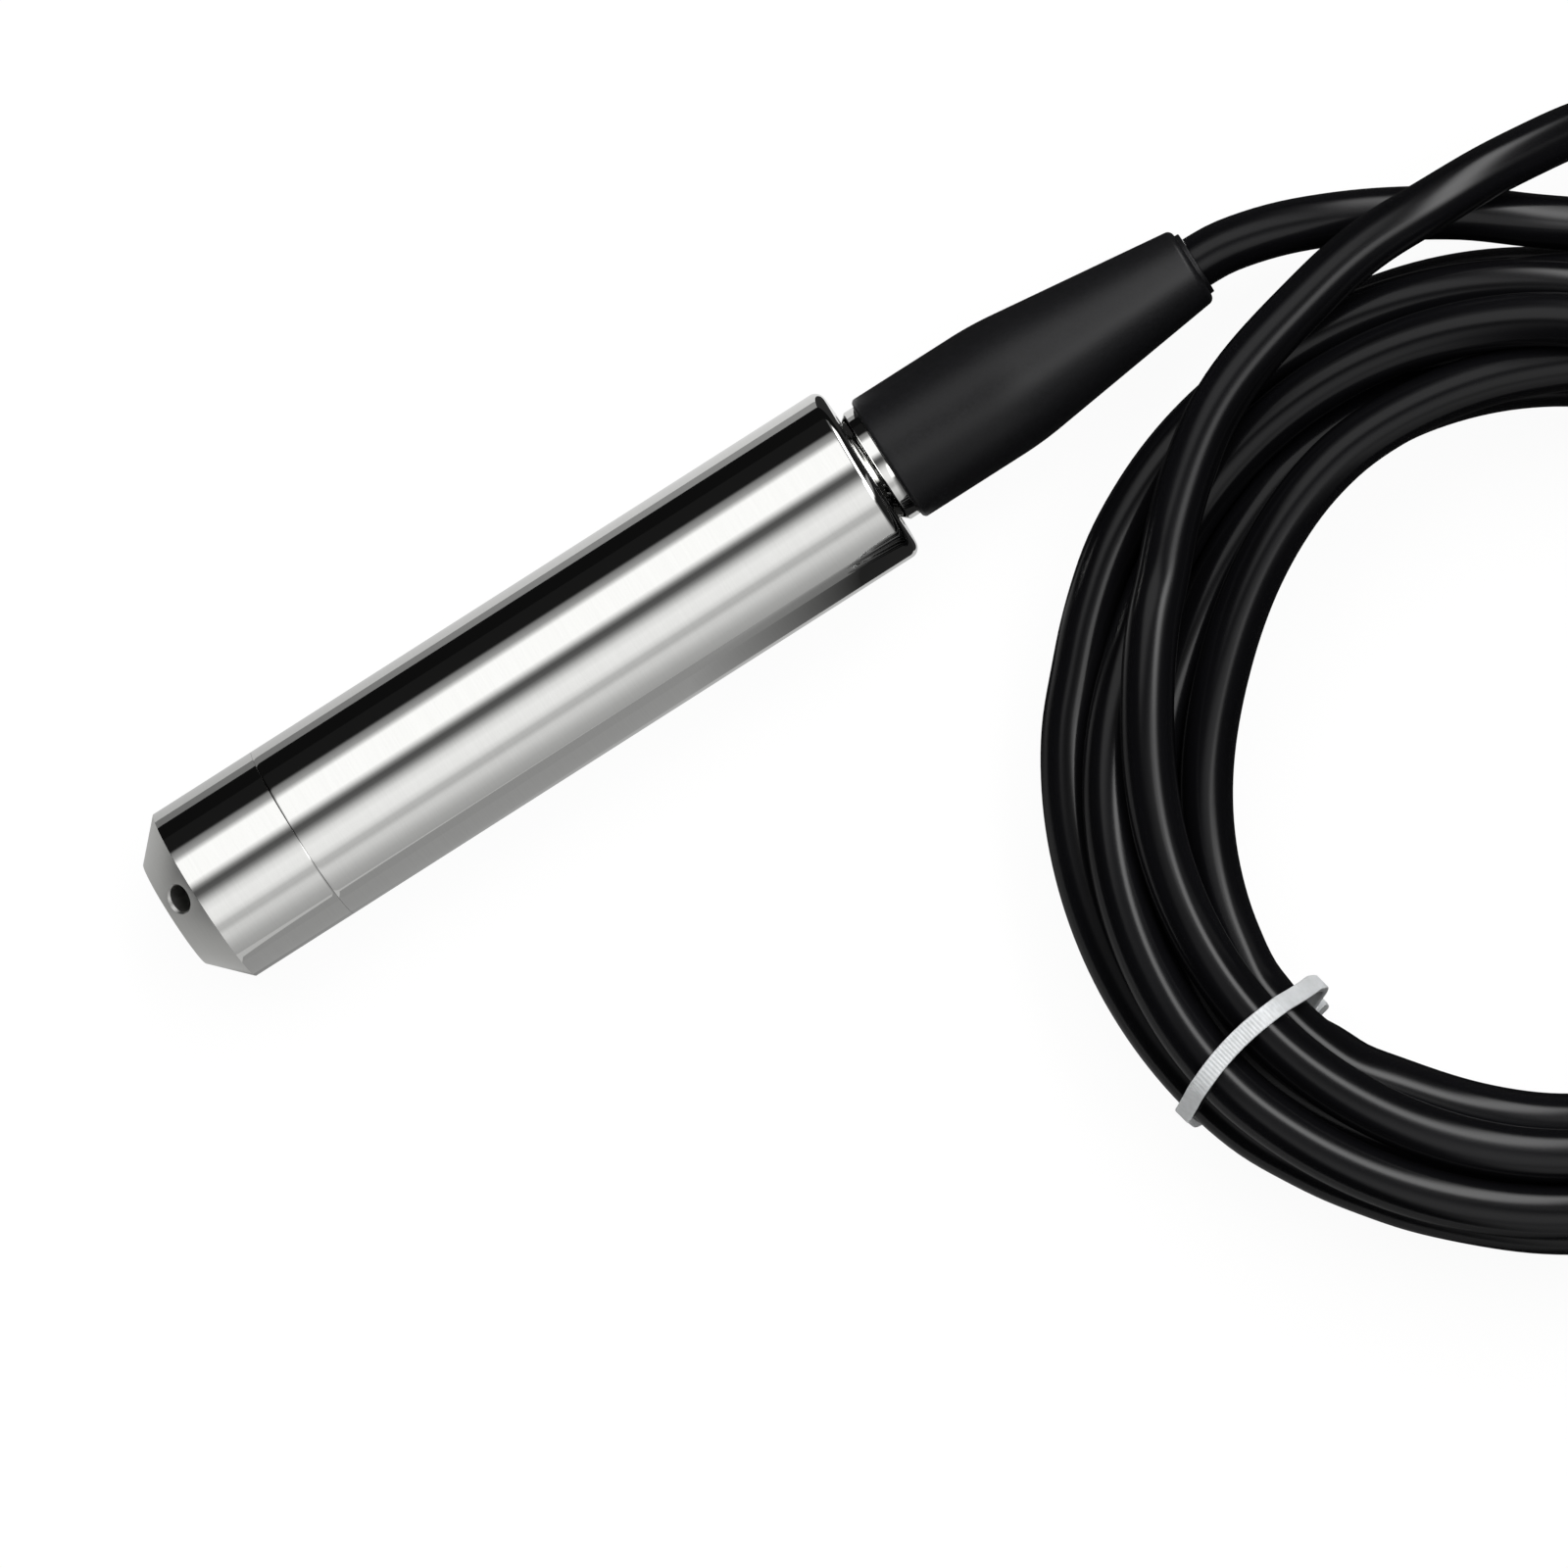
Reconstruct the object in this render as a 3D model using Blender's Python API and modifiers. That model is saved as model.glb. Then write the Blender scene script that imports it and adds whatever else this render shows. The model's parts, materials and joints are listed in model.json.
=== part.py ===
"""Submersible level transmitter: a stainless probe on its side, its boot and its coiled vented cable.

The probe lies along X, nose at -X and cable end at +X, with its middle over the origin. The floor is
z = 0. Stations along the probe are measured from the nose face towards the cable, and the cable's
places from where it leaves the boot.
"""
import math

import bmesh
import bpy
import numpy as np
from mathutils import Vector

MM = 0.001

# Clearances
SLIDING_FIT = 0.15 * MM
SEAT_GAP = 0.05 * MM
MESH_GAP = 0.3 * MM
CABLE_FIT = 0.25 * MM

# Housing tube
TUBE_DIAMETER = 26.0 * MM
TUBE_WALL = 2.0 * MM
TUBE_LENGTH = 91.4 * MM
TUBE_END_FILLET = 1.5 * MM
SHOULDER_THICKNESS = 2.5 * MM

# Nose cap
NOSE_FACE_DIAMETER = 16.0 * MM
CONE_LENGTH = 4.8 * MM
NOSE_CAP_LENGTH = 20.6 * MM
NOSE_WALL = 4.5 * MM
CHAMBER_DEPTH = 4.5 * MM
CHAMBER_STEP = 2.1 * MM
SPIGOT_LENGTH = 8.0 * MM
SPIGOT_WALL = 1.0 * MM
PORT_DIAMETER = 4.2 * MM
PORT_COUNT = 3
PORT_FIRST_ANGLE = math.radians(6.7)

# Pressure cell and what holds it
CELL_LENGTH = 12.5 * MM
CELL_RECESS_DEPTH = 1.0 * MM
CELL_RIM = 2.2 * MM
GROOVE_DEPTH = 1.5 * MM
GROOVE_WIDTH = 2.4 * MM
DIAPHRAGM_THICKNESS = 0.25 * MM
DIAPHRAGM_WAVE = 0.15 * MM
RETAINER_LENGTH = 3.5 * MM
RETAINER_WALL = 2.4 * MM
SPANNER_SLOT = 2.0 * MM
PIN_DIAMETER = 0.9 * MM
PIN_COUNT = 4
PIN_CIRCLE = 4.0 * MM
PIN_LENGTH = 8.0 * MM
CELL_TUBE_DIAMETER = 1.5 * MM
CELL_TUBE_LENGTH = 5.0 * MM

# Electronics
BOARD_THICKNESS = 1.6 * MM
BOARD_DROP = 2.8 * MM
BOARD_EDGE_SPACE = 1.5 * MM
HOLDER_LENGTH = 3.0 * MM
HOLDER_WALL = 2.4 * MM
SOCKET_SIZE = (6.0 * MM, 11.0 * MM, 9.0 * MM)
TERMINAL_SIZE = (6.5 * MM, 10.0 * MM, 6.5 * MM)
WIRE_SPACE = 6.5 * MM
PART_BEVEL = 0.2 * MM
BOARD_PARTS = (
    ("amplifier_chip", "component_black", (4.9 * MM, 3.9 * MM, 1.6 * MM)),
    ("zero_trimmer", "component_blue", (3.8 * MM, 3.8 * MM, 3.2 * MM)),
    ("span_trimmer", "component_blue", (3.8 * MM, 3.8 * MM, 3.2 * MM)),
    ("regulator_chip", "component_black", (5.0 * MM, 3.6 * MM, 1.7 * MM)),
    ("filter_capacitor", "core_red", (4.6 * MM, 3.2 * MM, 2.8 * MM)),
    ("surge_arrester", "white_plastic", (5.0 * MM, 4.4 * MM, 4.4 * MM)),
)

# Rear fitting, gland and boot
PLUG_LENGTH = 9.5 * MM
RING_PITCH = 3.8 * MM
LOCK_RING_LENGTH = 3.5 * MM
LOCK_RING_WALL = 3.0 * MM
NECK_LENGTH = 2.7 * MM
NECK_STEP = 2.05 * MM
STEM_LENGTH = 15.5 * MM
STEM_WALL = 1.2 * MM
GROMMET_LENGTH = 7.5 * MM
GROMMET_WALL = 1.2 * MM
GROMMET_SEAT = 4.5 * MM
NUT_WALL = 1.1 * MM
NUT_LENGTH = 9.5 * MM
NUT_END_WALL = 1.8 * MM
BOOT_WALL = 1.5 * MM
BOOT_STRAIGHT_LENGTH = 19.0 * MM
BOOT_TAPER_LENGTH = 30.0 * MM
BOOT_BLEND = 3.0 * MM
BOOT_END_WALL = 1.8 * MM
BOOT_END_FILLET = 1.0 * MM
BOOT_CHAMFER = 0.4 * MM
BOOT_LIP_HEIGHT = 0.6 * MM
BOOT_LIP_WALL = 0.7 * MM

# Cable
CABLE_DIAMETER = 7.3 * MM
CABLE_STRIP_SPACE = 2.0 * MM
CORE_DIAMETER = 1.5 * MM
CORE_PITCH = 2.0 * MM
TERMINAL_PITCH = 4.0 * MM
EXIT_STRAIGHT = 2.9 * MM
COIL_CENTRE = (6.1 * MM, -84.2 * MM)
COIL_INNER_RADIUS = 46.4 * MM
COIL_OUTER_RADIUS = 69.7 * MM
COIL_HEIGHT = 19.8 * MM
COIL_CORNER = 6.0 * MM
SLEEVE_LENGTH = 13.0 * MM
SLEEVE_WALL = 0.6 * MM
SLEEVE_END_WALL = 3.0 * MM

# Cable tie
TIE_ANGLE = math.radians(192.5)
TIE_WIDTH = 2.6 * MM
TIE_THICKNESS = 1.0 * MM
TIE_INNER_LOOP = 1.6 * MM
TIE_CORNER = 5.5 * MM
TIE_HEAD = (4.1 * MM, 4.6 * MM, 4.4 * MM)

# Turn that lays a piece made along Z on the probe's axis
ALONG_PROBE = (0.0, math.pi / 2, 0.0)

# Resolution of round shapes
BODY_STEPS = 48
SMALL_STEPS = 32
SEAL_SIDES = 6
DIAPHRAGM_RINGS = 7
CABLE_SEGMENT = 16.0 * MM
CORE_SEGMENT = 4.0 * MM

# Sizes that follow from the ones above
TUBE_RADIUS = TUBE_DIAMETER / 2
BORE_RADIUS = TUBE_RADIUS - TUBE_WALL
SPIGOT_RADIUS = BORE_RADIUS - SLIDING_FIT
CELL_BORE_RADIUS = SPIGOT_RADIUS - SPIGOT_WALL
CELL_RADIUS = CELL_BORE_RADIUS - SLIDING_FIT
CHAMBER_RADIUS = CELL_BORE_RADIUS - CHAMBER_STEP
CABLE_RADIUS = CABLE_DIAMETER / 2
CABLE_BORE_RADIUS = CABLE_RADIUS + CABLE_FIT
GROMMET_RADIUS = CABLE_BORE_RADIUS + GROMMET_WALL
STEM_RADIUS = GROMMET_RADIUS + SLIDING_FIT + STEM_WALL
NECK_RADIUS = STEM_RADIUS + NECK_STEP
NUT_BORE_RADIUS = STEM_RADIUS + SLIDING_FIT
NUT_RADIUS = NUT_BORE_RADIUS + NUT_WALL
BOOT_CAVITY_RADIUS = NUT_RADIUS + SLIDING_FIT
BOOT_RADIUS = BOOT_CAVITY_RADIUS + BOOT_WALL
PLUG_RADIUS = BORE_RADIUS - SLIDING_FIT

# Stations along the probe, from the nose face
SEAM = NOSE_CAP_LENGTH
CELL_FRONT = NOSE_WALL + CHAMBER_DEPTH
CELL_BACK = CELL_FRONT + CELL_LENGTH
RETAINER_BACK = CELL_BACK + SEAT_GAP + RETAINER_LENGTH
TUBE_END = SEAM + TUBE_LENGTH
PLUG_BACK = TUBE_END - SHOULDER_THICKNESS - SEAT_GAP
PLUG_FRONT = PLUG_BACK - PLUG_LENGTH
LOCK_RING_FRONT = PLUG_FRONT - SEAT_GAP - LOCK_RING_LENGTH
CABLE_FRONT = LOCK_RING_FRONT - CABLE_STRIP_SPACE
BOARD_FRONT = CELL_BACK + PIN_LENGTH
BOARD_BACK = CABLE_FRONT - WIRE_SPACE
BOOT_FRONT = TUBE_END + NECK_LENGTH
STEM_END = BOOT_FRONT + STEM_LENGTH
BOOT_BREAK = BOOT_FRONT + BOOT_STRAIGHT_LENGTH
BOOT_FACE = BOOT_BREAK + BOOT_TAPER_LENGTH
PROBE_LENGTH = BOOT_FACE + BOOT_LIP_HEIGHT
GROMMET_FRONT = BOOT_FRONT + GROMMET_SEAT
GROMMET_BACK = GROMMET_FRONT + GROMMET_LENGTH
NUT_BACK = STEM_END + SEAT_GAP + NUT_END_WALL
NUT_FRONT = NUT_BACK - NUT_LENGTH
BOARD_TOP = -BOARD_DROP + BOARD_THICKNESS / 2

# Routes of the cable where it isn't coiled, in millimetres: X and Y from its exit, and its centre's height
LEAD_ROUTE = (
    (7.4, -1.1, 13.0),
    (11.9, -2.6, 12.9),
    (16.7, -4.5, 12.8),
    (22.2, -6.9, 12.4),
    (27.9, -10.1, 12.0),
    (34.9, -14.5, 11.4),
    (41.0, -19.4, 10.9),
)
TAIL_ROUTE = (
    (-46.4, -74.1, 23.8),
    (-44.7, -66.0, 23.8),
    (-40.5, -56.1, 23.8),
    (-33.8, -44.1, 23.8),
    (-25.8, -33.0, 23.8),
    (-20.9, -28.1, 23.8),
    (-15.4, -23.3, 23.8),
    (-9.6, -19.3, 23.7),
    (-4.8, -16.9, 23.6),
    (1.9, -14.7, 23.4),
    (8.1, -13.2, 23.0),
    (14.2, -11.8, 22.4),
    (21.7, -10.9, 21.5),
    (29.4, -11.0, 20.3),
    (39.5, -11.3, 17.4),
    (46.0, -11.8, 14.6),
    (56.4, -13.4, 9.2),
    (66.4, -18.2, 5.0),
    (75.9, -27.0, 4.0),
    (83.9, -39.5, 4.0),
    (88.9, -54.0, 4.0),
    (90.9, -70.0, 4.1),
    (89.9, -86.0, 4.8),
    (86.9, -99.0, 4.9),
)
CORE_ROUTES = {
    "tail_red_core": (
        (83.1, -107.0, 4.2),
        (79.7, -115.5, 1.9),
        (73.9, -124.0, 1.1),
        (66.4, -130.5, 1.1),
    ),
    "tail_black_core": (
        (85.1, -108.0, 4.0),
        (83.5, -118.0, 1.6),
        (80.7, -129.0, 1.1),
        (75.9, -139.5, 1.1),
    ),
    "tail_vent_capillary": (
        (87.2, -108.0, 4.2),
        (87.3, -117.0, 1.8),
        (88.7, -126.0, 1.1),
        (91.5, -134.5, 1.1),
    ),
}

# Colours of the pieces: red, green, blue, then roughness and metallic
FINISHES = {
    "polished_steel": ((0.72, 0.72, 0.71), 0.10, 1.0),
    "turned_steel": ((0.52, 0.52, 0.51), 0.35, 1.0),
    "brass": ((0.78, 0.58, 0.28), 0.3, 1.0),
    "black_rubber": ((0.012, 0.012, 0.013), 0.55, 0.0),
    "seal_rubber": ((0.02, 0.02, 0.02), 0.6, 0.0),
    "cable_sheath": ((0.008, 0.008, 0.009), 0.3, 0.0),
    "natural_nylon": ((0.62, 0.64, 0.66), 0.4, 0.0),
    "white_plastic": ((0.75, 0.74, 0.70), 0.5, 0.0),
    "board_green": ((0.03, 0.16, 0.07), 0.45, 0.0),
    "component_black": ((0.02, 0.02, 0.022), 0.5, 0.0),
    "component_blue": ((0.04, 0.11, 0.42), 0.4, 0.0),
    "core_red": ((0.55, 0.02, 0.02), 0.4, 0.0),
    "core_black": ((0.015, 0.015, 0.015), 0.4, 0.0),
}


def clear_scene():
    """Remove every object that the scene starts with."""
    for thing in list(bpy.data.objects):
        bpy.data.objects.remove(thing, do_unlink=True)


def make_collection(name):
    """Return a new collection linked to the scene."""
    collection = bpy.data.collections.new(name)
    bpy.context.scene.collection.children.link(collection)
    return collection


def make_materials():
    """Return one Principled material for each finish."""
    materials = {}
    for name, (colour, roughness, metallic) in FINISHES.items():
        material = bpy.data.materials.new(name)
        material.use_nodes = True
        shader = material.node_tree.nodes["Principled BSDF"]
        shader.inputs["Base Color"].default_value = (*colour, 1.0)
        shader.inputs["Roughness"].default_value = roughness
        shader.inputs["Metallic"].default_value = metallic
        material.diffuse_color = (*colour, 1.0)
        materials[name] = material
    return materials


def place(name, data, finish, parent=None, location=(0.0, 0.0, 0.0), rotation=(0.0, 0.0, 0.0)):
    """Add an object of the part, with its finish, under its parent."""
    thing = bpy.data.objects.new(name, data)
    data.materials.append(MATERIALS[finish])
    thing.parent = parent
    thing.location = location
    thing.rotation_euler = rotation
    PART.objects.link(thing)
    return thing


def make_parent(name, location):
    """Add an empty that pieces are placed under."""
    empty = bpy.data.objects.new(name, None)
    empty.location = location
    PART.objects.link(empty)
    return empty


def lathe(name, finish, parent, chain, closed, location, rotation=ALONG_PROBE, steps=SMALL_STEPS):
    """Turn a chain of (station, radius) points, which runs from rear to front down the outer side."""
    mesh = bpy.data.meshes.new(name)
    edges = [(index, index + 1) for index in range(len(chain) - 1)]
    if closed:
        edges.append((len(chain) - 1, 0))
    mesh.from_pydata([(radius, 0.0, along) for along, radius in chain], edges, [])
    thing = place(name, mesh, finish, parent, location, rotation)
    screw = thing.modifiers.new("turn", "SCREW")
    screw.steps = steps
    screw.render_steps = steps
    screw.use_merge_vertices = True
    screw.merge_threshold = 0.000001
    screw.use_smooth_shade = True
    return thing


def turned(name, finish, parent, station, outline, bore, steps=SMALL_STEPS):
    """Add a turned piece with a bore, each given from front to rear, on the probe's axis."""
    chain = [*reversed(outline), *bore]
    return lathe(name, finish, parent, chain, True, (station, 0.0, 0.0), steps=steps)


def arc(centre, radius, start, end, count):
    """Return points of an arc, ends included, with angles in degrees from the first axis."""
    angles = np.radians(np.linspace(start, end, count))
    return [(centre[0] + radius * math.cos(a), centre[1] + radius * math.sin(a)) for a in angles]


def ring_outline(length, outer, inner):
    """Return the outline and bore of a plain ring or tube."""
    return [(0.0, outer), (length, outer)], [(0.0, inner), (length, inner)]


def box_mesh(name, size):
    """Return a box mesh of the given size about its own middle."""
    mesh = bpy.data.meshes.new(name)
    form = bmesh.new()
    bmesh.ops.create_cube(form, size=1.0)
    bmesh.ops.scale(form, vec=size, verts=form.verts)
    form.to_mesh(mesh)
    form.free()
    return mesh


def box(name, finish, parent, size, centre, bevel=0.0):
    """Add a box with its corner edges rounded."""
    thing = place(name, box_mesh(name, size), finish, parent, centre)
    if bevel:
        rounding = thing.modifiers.new("edges", "BEVEL")
        rounding.width = bevel
        rounding.segments = 2
    return thing


def rod_mesh(name, radius, length, steps):
    """Return a cylinder mesh along Z about its own middle."""
    mesh = bpy.data.meshes.new(name)
    form = bmesh.new()
    bmesh.ops.create_cone(form, cap_ends=True, segments=steps, radius1=radius, radius2=radius, depth=length)
    form.to_mesh(mesh)
    form.free()
    return mesh


def rod(name, finish, parent, radius, start, length, offset, steps=12):
    """Add a round rod along the probe from a station, offset (y, z) from the axis."""
    location = (start + length / 2, offset[0], offset[1])
    return place(name, rod_mesh(name, radius, length, steps), finish, parent, location, ALONG_PROBE)


def cutter(name, mesh, parent, location, rotation=(0.0, 0.0, 0.0)):
    """Add a cutting body, which is shown as wire only."""
    thing = bpy.data.objects.new(name, mesh)
    thing.parent = parent
    thing.location = location
    thing.rotation_euler = rotation
    thing.hide_render = True
    thing.display_type = "WIRE"
    CUTTERS.objects.link(thing)
    return thing


def cut(thing, tool, operation="DIFFERENCE"):
    """Cut a piece with a cutting body, or join the body to it."""
    boolean = thing.modifiers.new(tool.name, "BOOLEAN")
    boolean.operation = operation
    boolean.object = tool


def smooth_route(points, spacing):
    """Return points at an even spacing on the natural cubic curve through the given ones."""
    fixed = np.array([tuple(point) for point in points])
    chords = np.linalg.norm(np.diff(fixed, axis=0), axis=1)
    knots = np.concatenate(([0.0], np.cumsum(chords)))
    count = len(fixed)
    system = np.eye(count)
    target = np.zeros((count, 3))
    for i in range(1, count - 1):
        before, after = chords[i - 1], chords[i]
        system[i, i - 1:i + 2] = (before, 2 * (before + after), after)
        target[i] = 6 * ((fixed[i + 1] - fixed[i]) / after - (fixed[i] - fixed[i - 1]) / before)
    bends = np.linalg.solve(system, target)
    steps = max(2, round(knots[-1] / spacing) + 1)
    route = []
    for distance in np.linspace(0.0, knots[-1], steps):
        i = min(int(np.searchsorted(knots, distance, side="right")) - 1, count - 2)
        span = chords[i]
        left, right = knots[i + 1] - distance, distance - knots[i]
        value = (bends[i] * left**3 + bends[i + 1] * right**3) / (6 * span)
        value += (fixed[i] / span - bends[i] * span / 6) * left
        value += (fixed[i + 1] / span - bends[i + 1] * span / 6) * right
        route.append(Vector(value))
    return route


def metres(route):
    """Return route points, given in millimetres, in metres."""
    return [Vector(point) * MM for point in route]


def wire(name, finish, parent, points, diameter, resolution=2):
    """Add a round wire or cable along points, closed at both ends."""
    curve = bpy.data.curves.new(name, "CURVE")
    curve.dimensions = "3D"
    curve.bevel_depth = diameter / 2
    curve.bevel_resolution = resolution
    curve.use_fill_caps = True
    spline = curve.splines.new("POLY")
    spline.points.add(len(points) - 1)
    for target, point in zip(spline.points, points):
        target.co = (*point, 1.0)
    return place(name, curve, finish, parent)


def build_nose_cap(probe):
    """The cone-ended cap: a cup that carries the pressure cell, with ports through its cone."""
    chain = [
        (NOSE_WALL, 0.0),
        (NOSE_WALL, CHAMBER_RADIUS),
        (CELL_FRONT, CHAMBER_RADIUS),
        (CELL_FRONT, CELL_BORE_RADIUS),
        (SEAM + SPIGOT_LENGTH, CELL_BORE_RADIUS),
        (SEAM + SPIGOT_LENGTH, SPIGOT_RADIUS),
        (SEAM, SPIGOT_RADIUS),
        (SEAM, TUBE_RADIUS),
        (CONE_LENGTH, TUBE_RADIUS),
        (0.0, NOSE_FACE_DIAMETER / 2),
        (0.0, 0.0),
    ]
    cap = lathe("nose_cap", "turned_steel", probe, chain, False, (0.0, 0.0, 0.0), steps=BODY_STEPS)
    rise = TUBE_RADIUS - NOSE_FACE_DIAMETER / 2
    slant = math.hypot(rise, CONE_LENGTH)
    middle_radius = (TUBE_RADIUS + NOSE_FACE_DIAMETER / 2) / 2
    for index in range(PORT_COUNT):
        angle = PORT_FIRST_ANGLE + index * 2 * math.pi / PORT_COUNT
        radial = Vector((0.0, math.sin(angle), math.cos(angle)))
        outward = radial * (CONE_LENGTH / slant) - Vector((rise / slant, 0.0, 0.0))
        centre = radial * middle_radius + Vector((CONE_LENGTH / 2, 0.0, 0.0))
        drill = rod_mesh("port_drill", PORT_DIAMETER / 2, 2 * (NOSE_WALL + PORT_DIAMETER / 2), 20)
        rotation = outward.to_track_quat("Z", "Y").to_euler()
        cut(cap, cutter(f"port_drill_{index + 1}", drill, probe, centre, rotation))
    return cap


def build_housing_tube(probe):
    """The polished tube, with a rounded rear edge and an inward shoulder that the fitting bears on."""
    length = TUBE_LENGTH - SEAT_GAP
    fillet = arc((length - TUBE_END_FILLET, TUBE_RADIUS - TUBE_END_FILLET), TUBE_END_FILLET, 90, 0, 6)
    outline = [(0.0, TUBE_RADIUS), *fillet]
    neck_bore = NECK_RADIUS + MESH_GAP
    step = length - SHOULDER_THICKNESS
    bore = [(0.0, BORE_RADIUS), (step, BORE_RADIUS), (step, neck_bore), (length, neck_bore)]
    return turned("housing_tube", "polished_steel", probe, SEAM + SEAT_GAP, outline, bore, BODY_STEPS)


def build_seal_ring(name, probe, station, floor_radius, bore_radius):
    """A rubber ring that fills a groove's depth, short of its floor and of the bore it seals on."""
    middle = (floor_radius + bore_radius) / 2
    section = (bore_radius - floor_radius) / 2 - SLIDING_FIT
    angles = [2 * math.pi * index / SEAL_SIDES for index in range(SEAL_SIDES)]
    chain = [(section * math.cos(angle), middle + section * math.sin(angle)) for angle in angles]
    return lathe(name, "seal_rubber", probe, chain, True, (station, 0.0, 0.0))


def grooved(outline_start, outline_end, radius, centres):
    """Return an outline at one radius from start to end, with a groove about each centre."""
    points = [(outline_start, radius)]
    for centre in centres:
        front, back = centre - GROOVE_WIDTH / 2, centre + GROOVE_WIDTH / 2
        floor = radius - GROOVE_DEPTH
        points += [(front, radius), (front, floor), (back, floor), (back, radius)]
    return points + [(outline_end, radius)]


def build_pressure_cell(probe):
    """The oil-filled pressure cell with its diaphragm, seal, retaining ring, pins and filling tube."""
    recess = CELL_RADIUS - CELL_RIM
    groove_at = CELL_LENGTH / 2
    outline = grooved(0.0, CELL_LENGTH - SEAT_GAP, CELL_RADIUS, [groove_at])
    front = [(0.0, recess), (CELL_RECESS_DEPTH, recess), (CELL_RECESS_DEPTH, 0.0)]
    chain = [(CELL_LENGTH - SEAT_GAP, 0.0), *reversed(outline), *front]
    start = CELL_FRONT + SEAT_GAP
    lathe("pressure_cell", "turned_steel", probe, chain, False, (start, 0.0, 0.0))

    edge = recess - SLIDING_FIT
    rings = [edge * index / DIAPHRAGM_RINGS for index in range(1, DIAPHRAGM_RINGS + 1)]
    waves = [(DIAPHRAGM_WAVE * math.cos(3 * math.pi * radius / edge), radius) for radius in rings]
    back = [(along + DIAPHRAGM_THICKNESS, radius) for along, radius in waves]
    chain = [(DIAPHRAGM_WAVE + DIAPHRAGM_THICKNESS, 0.0), *back, *reversed(waves), (DIAPHRAGM_WAVE, 0.0)]
    seat = start + CELL_RECESS_DEPTH - DIAPHRAGM_WAVE - DIAPHRAGM_THICKNESS - SLIDING_FIT
    lathe("diaphragm", "polished_steel", probe, chain, False, (seat, 0.0, 0.0))

    floor = CELL_RADIUS - GROOVE_DEPTH
    build_seal_ring("cell_seal_ring", probe, start + groove_at, floor, CELL_BORE_RADIUS)

    inner = CELL_RADIUS - RETAINER_WALL
    outline, bore = ring_outline(RETAINER_LENGTH, CELL_RADIUS, inner)
    retainer = turned("cell_retaining_ring", "brass", probe, CELL_BACK + SEAT_GAP, outline, bore)
    slot = box_mesh("spanner_slot", (RETAINER_LENGTH, 2 * TUBE_DIAMETER, SPANNER_SLOT))
    tool = cutter("spanner_slot", slot, probe, (RETAINER_BACK, 0.0, 0.0))
    cut(retainer, tool)

    length = PIN_LENGTH - MESH_GAP - SEAT_GAP
    back = CELL_BACK + SEAT_GAP
    for index in range(PIN_COUNT):
        angle = 2 * math.pi * (index + 0.5) / PIN_COUNT
        offset = (PIN_CIRCLE * math.cos(angle), PIN_CIRCLE * math.sin(angle))
        rod(f"cell_pin_{index + 1}", "brass", probe, PIN_DIAMETER / 2, back, length, offset, 8)
    rod("cell_filling_tube", "brass", probe, CELL_TUBE_DIAMETER / 2, back, CELL_TUBE_LENGTH, (0.0, 0.0), 10)


def build_board_holder(name, probe, station):
    """A plastic ring in the tube's bore, notched on both sides for the edges of the board."""
    outline, bore = ring_outline(HOLDER_LENGTH, PLUG_RADIUS, PLUG_RADIUS - HOLDER_WALL)
    holder = turned(name, "white_plastic", probe, station, outline, bore)
    width = board_width() + 2 * SLIDING_FIT
    notch = box_mesh(name + "_notch", (3 * HOLDER_LENGTH, width, BOARD_THICKNESS + 2 * SLIDING_FIT))
    tool = cutter(name + "_notch", notch, probe, (station + HOLDER_LENGTH / 2, 0.0, -BOARD_DROP))
    cut(holder, tool)
    return holder


def board_width():
    """Return the board's width, which leaves a margin to the tube's bore on both sides."""
    return 2 * (math.sqrt(PLUG_RADIUS**2 - BOARD_DROP**2) - BOARD_EDGE_SPACE)


def build_electronics(probe):
    """The circuit board in its two holders, with the parts that stand on it."""
    length = BOARD_BACK - BOARD_FRONT
    size = (length, board_width(), BOARD_THICKNESS)
    middle = (BOARD_FRONT + BOARD_BACK) / 2
    box("circuit_board", "board_green", probe, size, (middle, 0.0, -BOARD_DROP))
    margin = HOLDER_LENGTH / 2
    build_board_holder("board_holder_front", probe, BOARD_FRONT + SOCKET_SIZE[0] + margin)
    build_board_holder("board_holder_rear", probe, BOARD_BACK - HOLDER_LENGTH - margin - TERMINAL_SIZE[0])

    seat = BOARD_TOP + SEAT_GAP
    centre = (BOARD_FRONT + SOCKET_SIZE[0] / 2, 0.0, seat + SOCKET_SIZE[2] / 2)
    box("sensor_socket", "component_black", probe, SOCKET_SIZE, centre, PART_BEVEL)
    centre = (BOARD_BACK - TERMINAL_SIZE[0] / 2, 0.0, seat + TERMINAL_SIZE[2] / 2)
    box("wire_terminal", "board_green", probe, TERMINAL_SIZE, centre, PART_BEVEL)

    start = BOARD_FRONT + SOCKET_SIZE[0] + margin + HOLDER_LENGTH
    end = BOARD_BACK - TERMINAL_SIZE[0] - margin - HOLDER_LENGTH
    space = (end - start - sum(size[0] for _, _, size in BOARD_PARTS)) / (len(BOARD_PARTS) + 1)
    station = start + space
    for name, finish, size in BOARD_PARTS:
        centre = (station + size[0] / 2, 0.0, seat + size[2] / 2)
        if name == "surge_arrester":
            offset = (0.0, seat + size[2] / 2)
            rod(name, finish, probe, size[2] / 2, station, size[0], offset, 16)
        else:
            box(name, finish, probe, size, centre, PART_BEVEL)
        station += size[0] + space


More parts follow.
